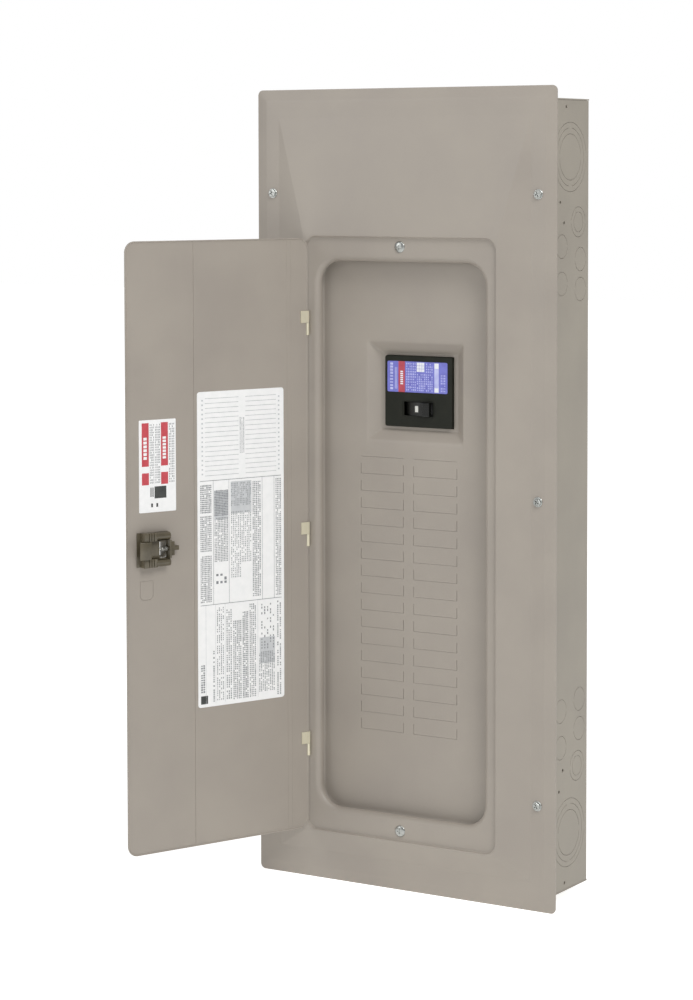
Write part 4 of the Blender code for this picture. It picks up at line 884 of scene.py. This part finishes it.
# The breaker's rating film: blue, with a red band, a white patch and columns of strokes.
rating_low, rating_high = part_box("rating_label")
finish_nodes(BLUE_FILM, "rating_label")
wide, tall = rating_high.x - rating_low.x, rating_high.z - rating_low.z


def band(ink, u0, v0, u1, v1, layer=1):
    """One solid printed field."""
    return strokes(ink, (u0, v0), (u1, v1), 1, 1, length=1.0, width=1.0, layer=layer)


# Each field: ink, shares of the film's width and height, columns, rows, length, width, share, layer.
FILM_FIELDS = (
    (LILAC_INK, 0.04, 0.10, 0.06, 0.96, 9, 1, 0.75, 0.80, 0.95, 1),
    (LILAC_INK, 0.12, 0.17, 0.10, 0.80, 1, 2, 1.00, 0.45, 1.00, 1),
    (RED_FILM, 0.185, 0.295, 0.0, 1.0, 1, 1, 1.00, 1.00, 1.00, 1),
    (WHITE_INK, 0.215, 0.265, 0.24, 0.70, 7, 1, 0.66, 0.90, 1.00, 2),
    (LILAC_INK, 0.31, 0.48, 0.04, 0.97, 11, 6, 0.80, 0.52, 0.90, 1),
    (WHITE_INK, 0.49, 0.62, 0.67, 0.98, 3, 3, 0.92, 0.92, 1.00, 2),
    (LILAC_INK, 0.49, 0.76, 0.04, 0.62, 8, 9, 0.80, 0.50, 0.88, 1),
    (LILAC_INK, 0.64, 0.76, 0.64, 0.97, 4, 4, 0.80, 0.50, 0.90, 1),
    (LILAC_INK, 0.78, 0.86, 0.03, 0.97, 1, 1, 1.00, 0.90, 1.00, 1),
    (WHITE_INK, 0.785, 0.855, 0.03, 0.17, 1, 1, 1.00, 1.00, 1.00, 2),
    (WHITE_INK, 0.785, 0.855, 0.80, 0.97, 1, 1, 1.00, 1.00, 1.00, 2),
    (LILAC_INK, 0.885, 0.97, 0.04, 0.62, 7, 3, 0.75, 0.50, 0.85, 1),
)
film = [
    strokes(
        ink,
        (a * wide, c * tall),
        (b * wide, d * tall),
        columns,
        rows,
        length,
        width,
        0.45 if share < 1 else 1.0,
        share,
        i,
        True,
        layer,
    )
    for i, (ink, a, b, c, d, columns, rows, length, width, share, layer) in enumerate(FILM_FIELDS)
]
label_piece("rating_film_print", "enclosure", film, Matrix.Translation(rating_low))


# ---------------------------------------------------------------------------
# Dead front: a powder-coated steel pan behind the trim's opening, drawn to a pocket round the main breaker.
# Its twistouts are sheared along the bottom and lower sides, and bend out when a branch breaker is fitted.

TRIM_PAINT = powder_coat("powder_coat_trim", "9f978e", "a69e94")
ROUND_STEPS = 14


class Ring:
    """A rounded rectangle in X and Z at its own depth y. Rings mix like numbers, to round a fold."""

    def __init__(self, x, z, half_x, half_z, radius, y):
        self.values = (x, z, half_x, half_z, radius, y)

    def mixed(self, other, share):
        return Ring(*[a + (b - a) * share for a, b in zip(self.values, other.values)])

    def reach(self, other):
        """How far the sheet runs from this ring to the other, over the shorter of its two ways."""
        a, b = self.values, other.values
        in_x, in_z = abs(a[2] - b[2]), abs(a[3] - b[3])
        across = min(abs(a[2] - b[2] + a[0] - b[0]), in_z) or max(in_x, in_z)
        return max(math.hypot(across, a[5] - b[5]), 1e-5)

    def points(self):
        x, z, half_x, half_z, radius, y = self.values
        loop = []
        for turn, (side_x, side_z) in enumerate(((1, 1), (-1, 1), (-1, -1), (1, -1))):
            corner = (x + side_x * (half_x - radius), z + side_z * (half_z - radius))
            loop += arc(corner, radius, turn * math.pi / 2, (turn + 1) * math.pi / 2, ROUND_STEPS)
        return [(u, y, v) for u, v in loop]


def folded(rings, radius, steps=4):
    """The same rings with each fold between them rounded over the given distance."""
    out = [rings[0]]
    for before, here, after in zip(rings, rings[1:], rings[2:]):
        start = here.mixed(before, min(0.45, radius / here.reach(before)))
        end = here.mixed(after, min(0.45, radius / here.reach(after)))
        for step in range(steps + 1):
            t = step / steps
            out.append(start.mixed(here, t).mixed(here.mixed(end, t), t))
    return [*out, rings[-1]]


def ringed_mesh(name, rings, filled=False):
    """A skin through the rings, facing -Y where they shrink. Filling both ends closes it."""
    shape = bmesh.new()
    rows = [[shape.verts.new(point) for point in ring.points()] for ring in rings]
    for outer, inner in zip(rows, rows[1:]):
        for i in range(len(outer)):
            j = (i + 1) % len(outer)
            shape.faces.new((outer[i], outer[j], inner[j], inner[i]))
    if filled:
        shape.faces.new(rows[-1])
        shape.faces.new(reversed(rows[0]))
    return taken(shape, name)


def pressed_sheet(name, rings, thickness, material):
    """A pressing: an open skin, which then gets its thickness behind the front face."""
    piece = add_piece(name, ringed_mesh(name, rings), material)
    wall = piece.modifiers.new("sheet", "SOLIDIFY")
    wall.thickness = thickness
    wall.offset = -1
    wall.use_even_offset = True
    finished(piece)
    piece.data.shade_smooth()
    piece.data.set_sharp_from_angle(angle=math.radians(32))
    return piece


pan_low, pan_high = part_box("dead_front")
PAN_SHEET = 1.2 * MM
MIDDLE_Z = -52.7 * MM
PAN_HALF = (109.8 * MM, 310.2 * MM)
PAN_CORNER = 27 * MM
PAN_EDGE_Y = -104.8 * MM
PAN_Y = -88.8 * MM
POCKET_Y = -77.0 * MM
POCKET_HALF = (48.6 * MM, 42.5 * MM)
POCKET_SLOPE = 12 * MM
pocket_x, pocket_z = breaker_x, (cover_low.z + cover_high.z) / 2
window = ((cover_high.x - cover_low.x) / 2 + 0.3 * MM, (cover_high.z - cover_low.z) / 2 + 0.3 * MM)
pan_rings = [
    Ring(0, MIDDLE_Z, *PAN_HALF, PAN_CORNER, PAN_EDGE_Y),
    Ring(0, MIDDLE_Z, *PAN_HALF, PAN_CORNER, PAN_Y),
    Ring(pocket_x, pocket_z, POCKET_HALF[0] + POCKET_SLOPE, POCKET_HALF[1] + POCKET_SLOPE, 2.5 * MM, PAN_Y),
    Ring(pocket_x, pocket_z, *POCKET_HALF, 2.0 * MM, POCKET_Y),
    Ring(pocket_x, pocket_z, *window, 1.0 * MM, POCKET_Y),
]
dead_front = pressed_sheet("dead_front_pan", folded(pan_rings, 2.0 * MM), PAN_SHEET, TRIM_PAINT)
TAB_HALF_WIDTH = 30 * MM
TAB_FRONT = 105.7 * MM
for side in (1, -1):
    edge = MIDDLE_Z + side * (PAN_HALF[1] + 0.2 * MM)
    tip = pan_high.z if side == 1 else pan_low.z
    tab = rectangle(-TAB_HALF_WIDTH, TAB_HALF_WIDTH, edge, tip)
    cut(dead_front, prism(tab, -TAB_FRONT, PAN_EDGE_Y + PAN_SHEET, "Y"), "UNION")

PITCH = 19.05 * MM
ROWS = 16
ROWS_TOP = 35.7 * MM
TWIST_INNER = 6.55 * MM
TWIST_WIDTH = 54.6 * MM
SIDE_SHEAR_HEIGHT = 11.4 * MM
BOTTOM_SHEAR = 0.22 * MM
SIDE_SHEAR = 0.42 * MM
BACK_AND_FRONT = 3 * PAN_SHEET


def slits(low, high, columns, rows, size):
    """A grid of box cutters from the stroke tree, through the pan."""
    (u0, v0), (u1, v1) = low, high
    mesh = stroke_field(TRIM_PAINT, u1 - u0, v1 - v0, (size[0], BACK_AND_FRONT, size[1]), columns, rows)
    mesh.transform(Matrix.Translation(((u0 + u1) / 2, PAN_Y + PAN_SHEET / 2, (v0 + v1) / 2)))
    return mesh


first, last = TWIST_INNER, TWIST_INNER + TWIST_WIDTH
bottom = ROWS_TOP - ROWS * PITCH
centre = (first + last) / 2
cut(dead_front, slits((-centre, bottom), (centre, ROWS_TOP), 2, ROWS + 1, (TWIST_WIDTH, BOTTOM_SHEAR)))
side_low = bottom + SIDE_SHEAR_HEIGHT / 2 - BOTTOM_SHEAR / 4
side_high = side_low + (ROWS - 1) * PITCH
side_size = (SIDE_SHEAR, SIDE_SHEAR_HEIGHT)
cut(dead_front, slits((-last, side_low), (last, side_high), 2, ROWS, side_size))
cut(dead_front, slits((-first, side_low), (first, side_high), 2, ROWS, side_size))
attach(dead_front, "enclosure")
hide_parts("dead_front")


# ---------------------------------------------------------------------------
# Trim: one drawn steel sheet, powder coated. From its rim it rises to a flat band for the screws, then by
# long facets to a plateau round the door's seat, and rolls back to the opening.

_, trim_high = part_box("trim_cover")
TRIM_SHEET = 1.5 * MM
half_x, half_z = trim_high.x, trim_high.z
RIM_Y, BAND_Y, PLATEAU_Y, SEAT_Y = -100.2 * MM, -102.8 * MM, -110.9 * MM, -107.5 * MM
RIM_WIDTH = 12.7 * MM
BAND = (16.6 * MM, 19.3 * MM)
SEAT_HALF = (121.0 * MM, 332.6 * MM)
PLATEAU_RIM = 2.1 * MM
SEAT_STEP = 0.8 * MM
STRIP_HALF = (111.2 * MM, 311.6 * MM)
LIP_RADIUS = 6.3 * MM
LIP_CORNER = 25 * MM
LIP_BACK = 1.0 * MM
band_x, band_z = half_x - RIM_WIDTH, half_z - RIM_WIDTH
trim_rings = [
    Ring(0, 0, half_x, half_z, 6 * MM, RIM_Y),
    Ring(0, 0, band_x, band_z, 1.5 * MM, BAND_Y),
    Ring(0, 0, band_x - BAND[0], band_z - BAND[1], 1.0 * MM, BAND_Y),
    Ring(0, MIDDLE_Z, SEAT_HALF[0] + PLATEAU_RIM, SEAT_HALF[1] + PLATEAU_RIM, 1.5 * MM, PLATEAU_Y),
]
seat_rings = [
    Ring(0, MIDDLE_Z, *SEAT_HALF, 14 * MM, PLATEAU_Y),
    Ring(0, MIDDLE_Z, SEAT_HALF[0] - SEAT_STEP, SEAT_HALF[1] - SEAT_STEP, 13.2 * MM, SEAT_Y),
    Ring(0, MIDDLE_Z, *STRIP_HALF, LIP_CORNER + LIP_RADIUS, SEAT_Y),
]
lip_rings = []
LIP_STEPS = 10
for step in range(1, LIP_STEPS + 1):
    turn = math.pi / 2 * step / LIP_STEPS
    inward = LIP_RADIUS * math.sin(turn)
    y = SEAT_Y + LIP_RADIUS * (1 - math.cos(turn))
    halves = (STRIP_HALF[0] - inward, STRIP_HALF[1] - inward)
    lip_rings.append(Ring(0, MIDDLE_Z, *halves, LIP_CORNER + LIP_RADIUS - inward, y))
halves = (STRIP_HALF[0] - LIP_RADIUS, STRIP_HALF[1] - LIP_RADIUS)
lip_end = Ring(0, MIDDLE_Z, *halves, LIP_CORNER, SEAT_Y + LIP_RADIUS + LIP_BACK)
front_folds = folded([*trim_rings, seat_rings[0]], 1.6 * MM)[:-1]
seat_folds = folded([trim_rings[-1], *seat_rings], 0.5 * MM)[1:]
trim = pressed_sheet("trim", [*front_folds, *seat_folds, *lip_rings, lip_end], TRIM_SHEET, TRIM_PAINT)
hinge_slots = []
for height in ("upper", "middle", "lower"):
    low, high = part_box(f"hinge_trim_leaf_{height}")
    slot = rectangle(low.x - 0.4 * MM, low.x + 1.4 * MM, low.z - 0.3 * MM, high.z + 0.4 * MM)
    hinge_slots.append(prism(slot, SEAT_Y - TRIM_SHEET, SEAT_Y + 2 * TRIM_SHEET, "Y"))
cut(trim, joined(hinge_slots))
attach(trim, "enclosure")
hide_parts("trim_cover")


# ---------------------------------------------------------------------------
# Door and hinges: a shallow powder-coated steel pan on three riveted hinges with rolled knuckles of
# yellow-bright zinc. It is modelled closed and turned open about the hinge axis. Scored lines stiffen it.

door_joint = next(joint for joint in frame["joints"] if joint["name"] == "door_hinge")
axis_at = Vector(door_joint["pos_m"])
OPEN_TURN = math.radians(-max(door_joint["range_deg"]))
OPENED = Matrix.Translation(axis_at) @ Matrix.Rotation(OPEN_TURN, 4, "Z") @ Matrix.Translation(-axis_at)
DOOR_SHEET = 1.2 * MM
DOOR_RETURN = 1.0 * MM
DOOR_START, DOOR_END = axis_at.x + 0.4 * MM, 119.8 * MM
DOOR_HALF_Z = 330.4 * MM
DOOR_CORNER = 12 * MM
door_face, door_back = axis_at.y, axis_at.y + DOOR_SHEET + DOOR_RETURN
door_inside = door_face + DOOR_SHEET
door_x, door_half = (DOOR_START + DOOR_END) / 2, (DOOR_END - DOOR_START) / 2
door_rings = [
    Ring(door_x, MIDDLE_Z, door_half - inset, DOOR_HALF_Z - inset, DOOR_CORNER - inset, y)
    for inset, y in (
        (DOOR_SHEET + 2 * MM, door_inside),
        (DOOR_SHEET, door_inside),
        (DOOR_SHEET, door_back),
        (0.0, door_back),
        (0.0, door_face),
        (2 * MM, door_face),
    )
]
door = add_piece("door", ringed_mesh("door", folded(door_rings, 0.9 * MM), filled=True), TRIM_PAINT)

KNUCKLE_RADIUS = 2.1 * MM
CLEARANCE = 1 * MM
notches = []
for height in ("upper", "middle", "lower"):
    low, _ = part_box(f"hinge_trim_leaf_{height}")
    _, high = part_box(f"hinge_door_leaf_{height}")
    x0, x1 = axis_at.x - 1 * MM, axis_at.x + KNUCKLE_RADIUS + 0.3 * MM
    z0, z1 = low.z - 0.4 * MM, high.z + 0.4 * MM
    notches.append(prism(rectangle(x0, x1, z0, z1), door_face - CLEARANCE, door_back + CLEARANCE, "Y"))
cut(door, joined(notches))

# Scored lines: distance from the hinge axis, and width and depth of each on the inner face.
SCORES = ((151.0 * MM, 0.9 * MM, 0.45 * MM), (28.4 * MM, 0.5 * MM, 0.2 * MM), (23.0 * MM, 0.5 * MM, 0.2 * MM))
scored = []
for distance, width, depth in SCORES:
    x = axis_at.x + distance
    half, proud = width / 2, door_inside + 0.2 * MM
    groove = [(x - half, proud), (x, door_inside - depth), (x + half, proud)]
    reach = DOOR_HALF_Z - 3 * MM
    scored.append(prism(groove, MIDDLE_Z - reach, MIDDLE_Z + reach, "Z"))
cut(door, joined(scored))

LATCH_WIDTH = 34 * MM
LATCH_START = 103.0 * MM - LATCH_WIDTH
WINDOW = (LATCH_START + 4.4 * MM, LATCH_START + 26.4 * MM)
WINDOW_HALF_Z = 14.1 * MM
window_outline = rectangle(*WINDOW, MIDDLE_Z - WINDOW_HALF_Z, MIDDLE_Z + WINDOW_HALF_Z)
cut(door, prism(window_outline, door_face - 1 * MM, door_inside + 1 * MM, "Y"))

# The lock's knockout: a D sheared from the sheet below the latch.
LOCK = (axis_at.x + 203.8 * MM, axis_at.x + 220.3 * MM, -107.3 * MM, -86.4 * MM)


def d_shape(inset):
    """The knockout's outline: square at the top and round at the bottom."""
    x0, x1, z0, z1 = LOCK[0] + inset, LOCK[1] - inset, LOCK[2] + inset, LOCK[3] - inset
    radius = 5.5 * MM - inset
    right = arc((x1 - radius, z0 + radius), radius, 0, -math.pi / 2, 8)
    left = arc((x0 + radius, z0 + radius), radius, -math.pi / 2, -math.pi, 8)
    return [(x1, z1), *right, *left, (x0, z1)]


shear = prism(d_shape(0), door_inside - 0.35 * MM, door_inside + 0.4 * MM, "Y")
ring_mesh = add_piece("lock_shear", shear, TRIM_PAINT)
cut(ring_mesh, prism(d_shape(0.4 * MM), door_inside - 1 * MM, door_inside + 1 * MM, "Y"))
lock_shear = ring_mesh.data
bpy.data.objects.remove(ring_mesh)
cut(door, lock_shear)
door.data.transform(OPENED)
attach(door, "door")
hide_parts("door_panel")

CREAM_ZINC = rolled_metal("yellow_bright_zinc", "e2dcc2", "f3edd6", 0.34, grain=0.3 * MM)
CREAM_ZINC.node_tree.nodes["Principled BSDF"].inputs["Metallic"].default_value = 0.5
for height in ("upper", "middle", "lower"):
    finish_nodes(CREAM_ZINC, f"hinge_trim_leaf_{height}", f"hinge_door_leaf_{height}")
    finish_nodes(ZINC, f"hinge_pin_{height}")


# ---------------------------------------------------------------------------
# Door labels: a tall circuit directory in three fields and a smaller notice beside it, on coated paper, stuck
# to the inner face. Both were printed sideways, so most of their lines stand upright.

finish_nodes(PAPER, "directory_label", "caution_label")
LABEL_FACE = door_inside + 0.35 * MM
DIRECTORY = (axis_at.x + 33.6 * MM, axis_at.x + 147.1 * MM, -231.8 * MM, 113.2 * MM)
SECOND_FIELD, THIRD_FIELD = 15.9 * MM, -120.0 * MM
u0, u1, v0, v1 = DIRECTORY
middle = (u0 + u1) / 2
edge = 3.5 * MM
RULE = 0.2 * MM
rule_bottom, rule_top = SECOND_FIELD + 3 * MM, v1 - 5 * MM
tick_bottom, tick_top = SECOND_FIELD + 5 * MM, v1 - 7 * MM
strip_low, strip_high = (middle - 5 * MM, SECOND_FIELD + 28 * MM), (middle + 2 * MM, v1 - 30 * MM)
directory = [
    strokes(RULE_INK, (middle + 3 * MM, rule_bottom), (u1 - 10 * MM, rule_top), 1, 17, 1.0, 0.10),
    strokes(RULE_INK, (u0 + 10 * MM, rule_bottom), (middle - 6 * MM, rule_top), 1, 17, 1.0, 0.10),
    strokes(PALE_INK, (u1 - 8 * MM, tick_bottom), (u1 - 5 * MM, tick_top), 1, 17, 0.7, 0.35),
    strokes(PALE_INK, (u0 + 5 * MM, tick_bottom), (u0 + 8 * MM, tick_top), 1, 17, 0.7, 0.35),
    strokes(GREY_INK, strip_low, strip_high, 30, 3, 0.8, 0.4, 0.5, 0.95, 9, True),
    band(GREY_INK, u0 + edge, SECOND_FIELD - 0.3 * MM, u1 - edge, SECOND_FIELD + 0.3 * MM),
    band(GREY_INK, u0 + edge, THIRD_FIELD - 0.3 * MM, u1 - edge, THIRD_FIELD + 0.3 * MM),
]


def shares(a, b, c, d, bottom, top):
    """Corners of a field of the directory from shares of its width and of the height between two levels."""
    across, up = u1 - u0, top - bottom
    return (u0 + a * across, bottom + c * up), (u0 + b * across, bottom + d * up)


# Each field: shares of the label's width from its hinge side and of the field's height, then columns, rows,
# share printed and weight.
MIDDLE_FIELDS = (
    (0.03, 0.10, 0.02, 0.98, 60, 4, 0.92, 0.46),
    (0.27, 0.37, 0.03, 0.97, 62, 5, 0.93, 0.50),
    (0.38, 0.50, 0.32, 0.74, 24, 6, 0.85, 0.34),
    (0.38, 0.50, 0.78, 0.97, 12, 7, 0.80, 0.34),
    (0.50, 0.62, 0.20, 0.74, 32, 6, 0.88, 0.34),
    (0.50, 0.62, 0.78, 0.97, 12, 7, 0.80, 0.30),
    (0.65, 0.81, 0.34, 0.70, 26, 9, 0.95, 0.50),
    (0.65, 0.81, 0.71, 0.92, 16, 9, 1.00, 0.72),
    (0.66, 0.80, 0.16, 0.31, 5, 3, 0.55, 0.46),
    (0.84, 0.97, 0.02, 0.40, 24, 8, 0.95, 0.52),
    (0.84, 0.97, 0.43, 0.72, 18, 8, 0.95, 0.55),
    (0.84, 0.97, 0.74, 0.97, 14, 8, 0.95, 0.60),
)
LOWER_FIELDS = (
    (0.03, 0.09, 0.03, 0.97, 46, 2, 0.80, 0.36),
    (0.11, 0.28, 0.50, 0.96, 16, 5, 0.45, 0.30),
    (0.11, 0.30, 0.08, 0.48, 26, 9, 0.88, 0.44),
    (0.33, 0.41, 0.04, 0.97, 46, 4, 0.92, 0.46),
    (0.42, 0.49, 0.04, 0.90, 44, 4, 0.94, 0.60),
    (0.50, 0.60, 0.04, 0.82, 40, 5, 0.92, 0.50),
    (0.61, 0.68, 0.05, 0.94, 40, 3, 0.90, 0.42),
    (0.70, 0.79, 0.05, 0.97, 44, 4, 0.80, 0.34),
    (0.81, 0.83, 0.04, 0.55, 24, 1, 0.90, 0.60),
    (0.92, 0.97, 0.14, 0.42, 12, 2, 0.95, 0.62),
)
for fields, bottom, top in ((MIDDLE_FIELDS, THIRD_FIELD, SECOND_FIELD), (LOWER_FIELDS, v0, THIRD_FIELD)):
    for seed, (a, b, c, d, columns, rows, share, weight) in enumerate(fields):
        low, high = shares(a, b, c, d, bottom, top)
        directory.append(
            strokes(GREY_INK, low, high, columns, rows, 0.82, 1.2 * weight, 0.55, share, seed, True)
        )
COLUMN_RULES = (0.115, 0.255, 0.64, 0.82)
for share in COLUMN_RULES:
    rule = u0 + share * (u1 - u0)
    directory.append(band(GREY_INK, rule - RULE, THIRD_FIELD, rule + RULE, SECOND_FIELD))
for share in (0.31, 0.69, 0.80, 0.91):
    rule = u0 + share * (u1 - u0)
    directory.append(band(PALE_INK, rule - RULE, v0 + edge, rule + RULE, THIRD_FIELD))
# Shaded fields under the tables: shares of the width and of the field.
for a, b, c, d, bottom, top in (
    (0.65, 0.81, 0.68, 0.91, THIRD_FIELD, SECOND_FIELD),
    (0.38, 0.62, 0.72, 0.98, THIRD_FIELD, SECOND_FIELD),
    (0.11, 0.29, 0.36, 0.62, v0, THIRD_FIELD),
):
    low, high = shares(a, b, c, d, bottom, top)
    directory.append(band(PALE_INK, *low, *high, layer=0.5))
BLOCK = 9 * MM
directory.append(band(DARK_INK, u1 - edge - BLOCK, v0 + edge, u1 - edge, v0 + edge + BLOCK))
ON_DOOR = OPENED @ Matrix.Translation((0, LABEL_FACE, 0))
label_piece("directory_print", "door", directory, ON_DOOR)

NOTICE = (axis_at.x + 173.7 * MM, axis_at.x + 220.2 * MM, -13.2 * MM, 86.2 * MM)
u0, u1, v0, v1 = NOTICE
wide, tall = u1 - u0, v1 - v0
# Each field: ink, shares of the width from the hinge side and of the height, columns, rows, length, width,
# layer.
NOTICE_FIELDS = (
    (RED_INK, 0.75, 0.94, 0.30, 0.97, 1, 1, 1.00, 1.00, 1),
    (RED_INK, 0.23, 0.42, 0.30, 0.97, 1, 1, 1.00, 1.00, 1),
    (PAPER, 0.80, 0.90, 0.57, 0.82, 6, 1, 0.72, 0.90, 2),
    (PAPER, 0.28, 0.38, 0.57, 0.82, 7, 1, 0.72, 0.90, 2),
    (PAPER, 0.75, 0.94, 0.43, 0.50, 1, 1, 1.00, 1.00, 2),
    (PAPER, 0.23, 0.42, 0.43, 0.50, 1, 1, 1.00, 1.00, 2),
    (GREY_INK, 0.60, 0.73, 0.31, 0.96, 24, 4, 0.80, 0.42, 1),
    (GREY_INK, 0.44, 0.58, 0.31, 0.96, 24, 4, 0.80, 0.46, 1),
    (GREY_INK, 0.05, 0.21, 0.31, 0.96, 24, 4, 0.80, 0.42, 1),
    (DARK_INK, 0.28, 0.60, 0.15, 0.28, 1, 1, 1.00, 1.00, 1),
    (DARK_INK, 0.62, 0.72, 0.17, 0.27, 1, 3, 1.00, 0.55, 1),
    (DARK_INK, 0.46, 0.74, 0.055, 0.10, 1, 2, 0.9, 0.35, 1),
)
notice = [
    strokes(
        ink,
        (u0 + a * wide, v0 + c * tall),
        (u0 + b * wide, v0 + d * tall),
        columns,
        rows,
        length,
        width,
        0.7 if ink is GREY_INK else 1.0,
        0.92 if ink is GREY_INK else 1.0,
        seed,
        True,
        layer,
    )
    for seed, (ink, a, b, c, d, columns, rows, length, width, layer) in enumerate(NOTICE_FIELDS)
]
label_piece("notice_print", "door", notice, ON_DOOR)


# ---------------------------------------------------------------------------
# Latch: a dark bronze plastic moulding, snapped into the door's window. A bolt slides in its channel on a
# small coil spring, with a finger tab outside and a hook that catches behind the trim's rolled lip.

BRONZE = moulded_plastic("dark_bronze_moulding", "524b3b", "655d4b", 0.3, grain=0.9 * MM)
BRONZE.node_tree.nodes["Principled BSDF"].inputs["Coat Weight"].default_value = 0.35
SPRING = rolled_metal("drawn_spring_wire", "9b9b96", "b7b6b0", 0.3)


def welded_copy(node):
    """A CAD node's mesh with its doubled points merged."""
    mesh = frame["nodes"][node].data.copy()
    shape = bmesh.new()
    shape.from_mesh(mesh)
    bmesh.ops.remove_doubles(shape, verts=shape.verts, dist=1e-6)
    bmesh.ops.dissolve_limit(shape, angle_limit=math.radians(1), verts=shape.verts, edges=shape.edges)
    shape.to_mesh(mesh)
    shape.free()
    return mesh


ROD_RADIUS = 4.3 * MM
ROD_SPAN = (LATCH_START + 0.9 * MM, LATCH_START + 18.4 * MM)
ROD_OFFSET = 14.2 * MM
RAIL_INSIDE = 9.8 * MM
LATCH_FLOOR = door_inside + 2.5 * MM
LATCH_TOP = door_inside + 10.3 * MM
GRIPS = (21.5 * MM, 24.5 * MM, 27.5 * MM)
GRIP_WIDTH = 1.0 * MM
# The nub below the rods: reach from the start wall and half height of each step.
NUB_STEPS = ((4.6 * MM, 7.4 * MM), (11.8 * MM, 2.4 * MM))


def latch_box(x0, x1, z0, z1, y0, y1):
    """A box given in X, in Z from the latch's middle, and in Y."""
    return prism(rectangle(x0, x1, MIDDLE_Z + z0, MIDDLE_Z + z1), y0, y1, "Y")


housing = add_piece("latch_frame", welded_copy("latch_housing"), BRONZE)
housing.data.transform(OPENED.inverted())
clear = LATCH_TOP + 1 * MM
for side in (-1, 1):
    rail = sorted((side * RAIL_INSIDE, side * WINDOW_HALF_Z * 2))
    cut(housing, latch_box(LATCH_START - 1 * MM, ROD_SPAN[1] - 0.4 * MM, *rail, LATCH_FLOOR, clear))
grip_half = 2 * WINDOW_HALF_Z
grips = []
for x in GRIPS:
    start = LATCH_START + x
    grips.append(latch_box(start, start + GRIP_WIDTH, -grip_half, grip_half, LATCH_TOP - 1.2 * MM, clear))
cut(housing, joined(grips))
for side in (-1, 1):
    centre = (LATCH_FLOOR - 0.5 * MM + ROD_RADIUS, MIDDLE_Z + side * ROD_OFFSET)
    rod = prism(circle(centre, ROD_RADIUS, 32), *ROD_SPAN, "X")
    cut(housing, rod, "UNION")
for reach, half in NUB_STEPS:
    nub_floor, nub_top = door_inside + 0.3 * MM, LATCH_TOP - reach / 3
    step = latch_box(LATCH_START - reach, LATCH_START + 1 * MM, -half, half, nub_floor, nub_top)
    cut(housing, step, "UNION")
bevel(housing, 0.45 * MM, 3)
housing.data.transform(OPENED)
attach(housing, "door")
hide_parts("latch_housing")
bolt = add_piece("latch_bolt_moulding", welded_copy("latch_slide"), BRONZE)
bevel(bolt, 0.3 * MM, 3)
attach(bolt, "latch_bolt")
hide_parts("latch_slide")
finish_nodes(SPRING, "latch_spring")


# ---------------------------------------------------------------------------
# Studio: a plain pale floor, a large soft light from the right, a weaker one from the left, and the camera.

floor_z = cad_box[0].z
FLOOR_SIZE = 12.0
floor_mesh = bpy.data.meshes.new("floor")
floor_mesh.from_pydata(
    [(x * FLOOR_SIZE, y * FLOOR_SIZE, floor_z) for x, y in ((-1, -1), (1, -1), (1, 1), (-1, 1))],
    [],
    [(0, 1, 2, 3)],
)
floor = linked("floor", floor_mesh)
pale, pale_tree, pale_shader, _ = start_material("pale_floor", 0.9)
pale_shader.inputs["Base Color"].default_value = linear("f4f4f2")
pale_shader.inputs["Emission Color"].default_value = (1, 1, 1, 1)
seen_floor = add_node(pale_tree, "ShaderNodeLightPath").outputs["Is Camera Ray"]
glow = add_node(pale_tree, "ShaderNodeMapRange", {"Value": seen_floor, "To Min": 0.42, "To Max": 0.78})
pale_tree.links.new(glow.outputs[0], pale_shader.inputs["Emission Strength"])
floor_mesh.materials.append(pale)

world = bpy.data.worlds.new("studio")
world.use_nodes = True
bpy.context.scene.world = world
sky = world.node_tree
sky.nodes.clear()
seen = add_node(sky, "ShaderNodeBackground", {"Color": (1, 1, 1, 1), "Strength": 1.0})
lit = add_node(sky, "ShaderNodeBackground", {"Color": (1, 1, 1, 1), "Strength": 0.36})
ray = add_node(sky, "ShaderNodeLightPath")
sources = (ray.outputs["Is Camera Ray"], lit.outputs[0], seen.outputs[0])
mixed = add_node(sky, "ShaderNodeMixShader", dict(enumerate(sources)))
add_node(sky, "ShaderNodeOutputWorld", {"Surface": mixed.outputs[0]})


def soft_light(name, place, target, size, watts):
    data = bpy.data.lights.new(name, "AREA")
    data.shape = "RECTANGLE"
    data.size, data.size_y = size
    data.energy = watts
    lamp = linked(name, data)
    lamp.location = place
    lamp.rotation_euler = (Vector(target) - Vector(place)).to_track_quat("-Z", "Y").to_euler()


soft_light("key", (2.1, -1.4, 2.3), (0, -0.1, 0.25), (1.2, 1.4), 44)
soft_light("fill", (-1.9, -2.9, 1.0), (0, -0.1, 0), (1.4, 1.4), 15)
soft_light("top", (0.3, -1.3, 2.9), (0, -0.1, 0), (1.4, 1.0), 14)

LENS = 99.143
camera_data = bpy.data.cameras.new("camera")
camera_data.lens = LENS
camera_data.shift_y = -0.18
camera_data.clip_end = 60
camera = linked("camera", camera_data)
camera.location = (1.53638, -2.68111, 0.35688)
look = Matrix.Rotation(math.radians(31.944), 4, "Z") @ Matrix.Rotation(math.radians(90 - 3.195), 4, "X")
camera.rotation_euler = (look @ Matrix.Rotation(math.radians(-0.106), 4, "Z")).to_euler()
bpy.context.scene.camera = camera
bpy.context.scene.view_settings.view_transform = "Standard"
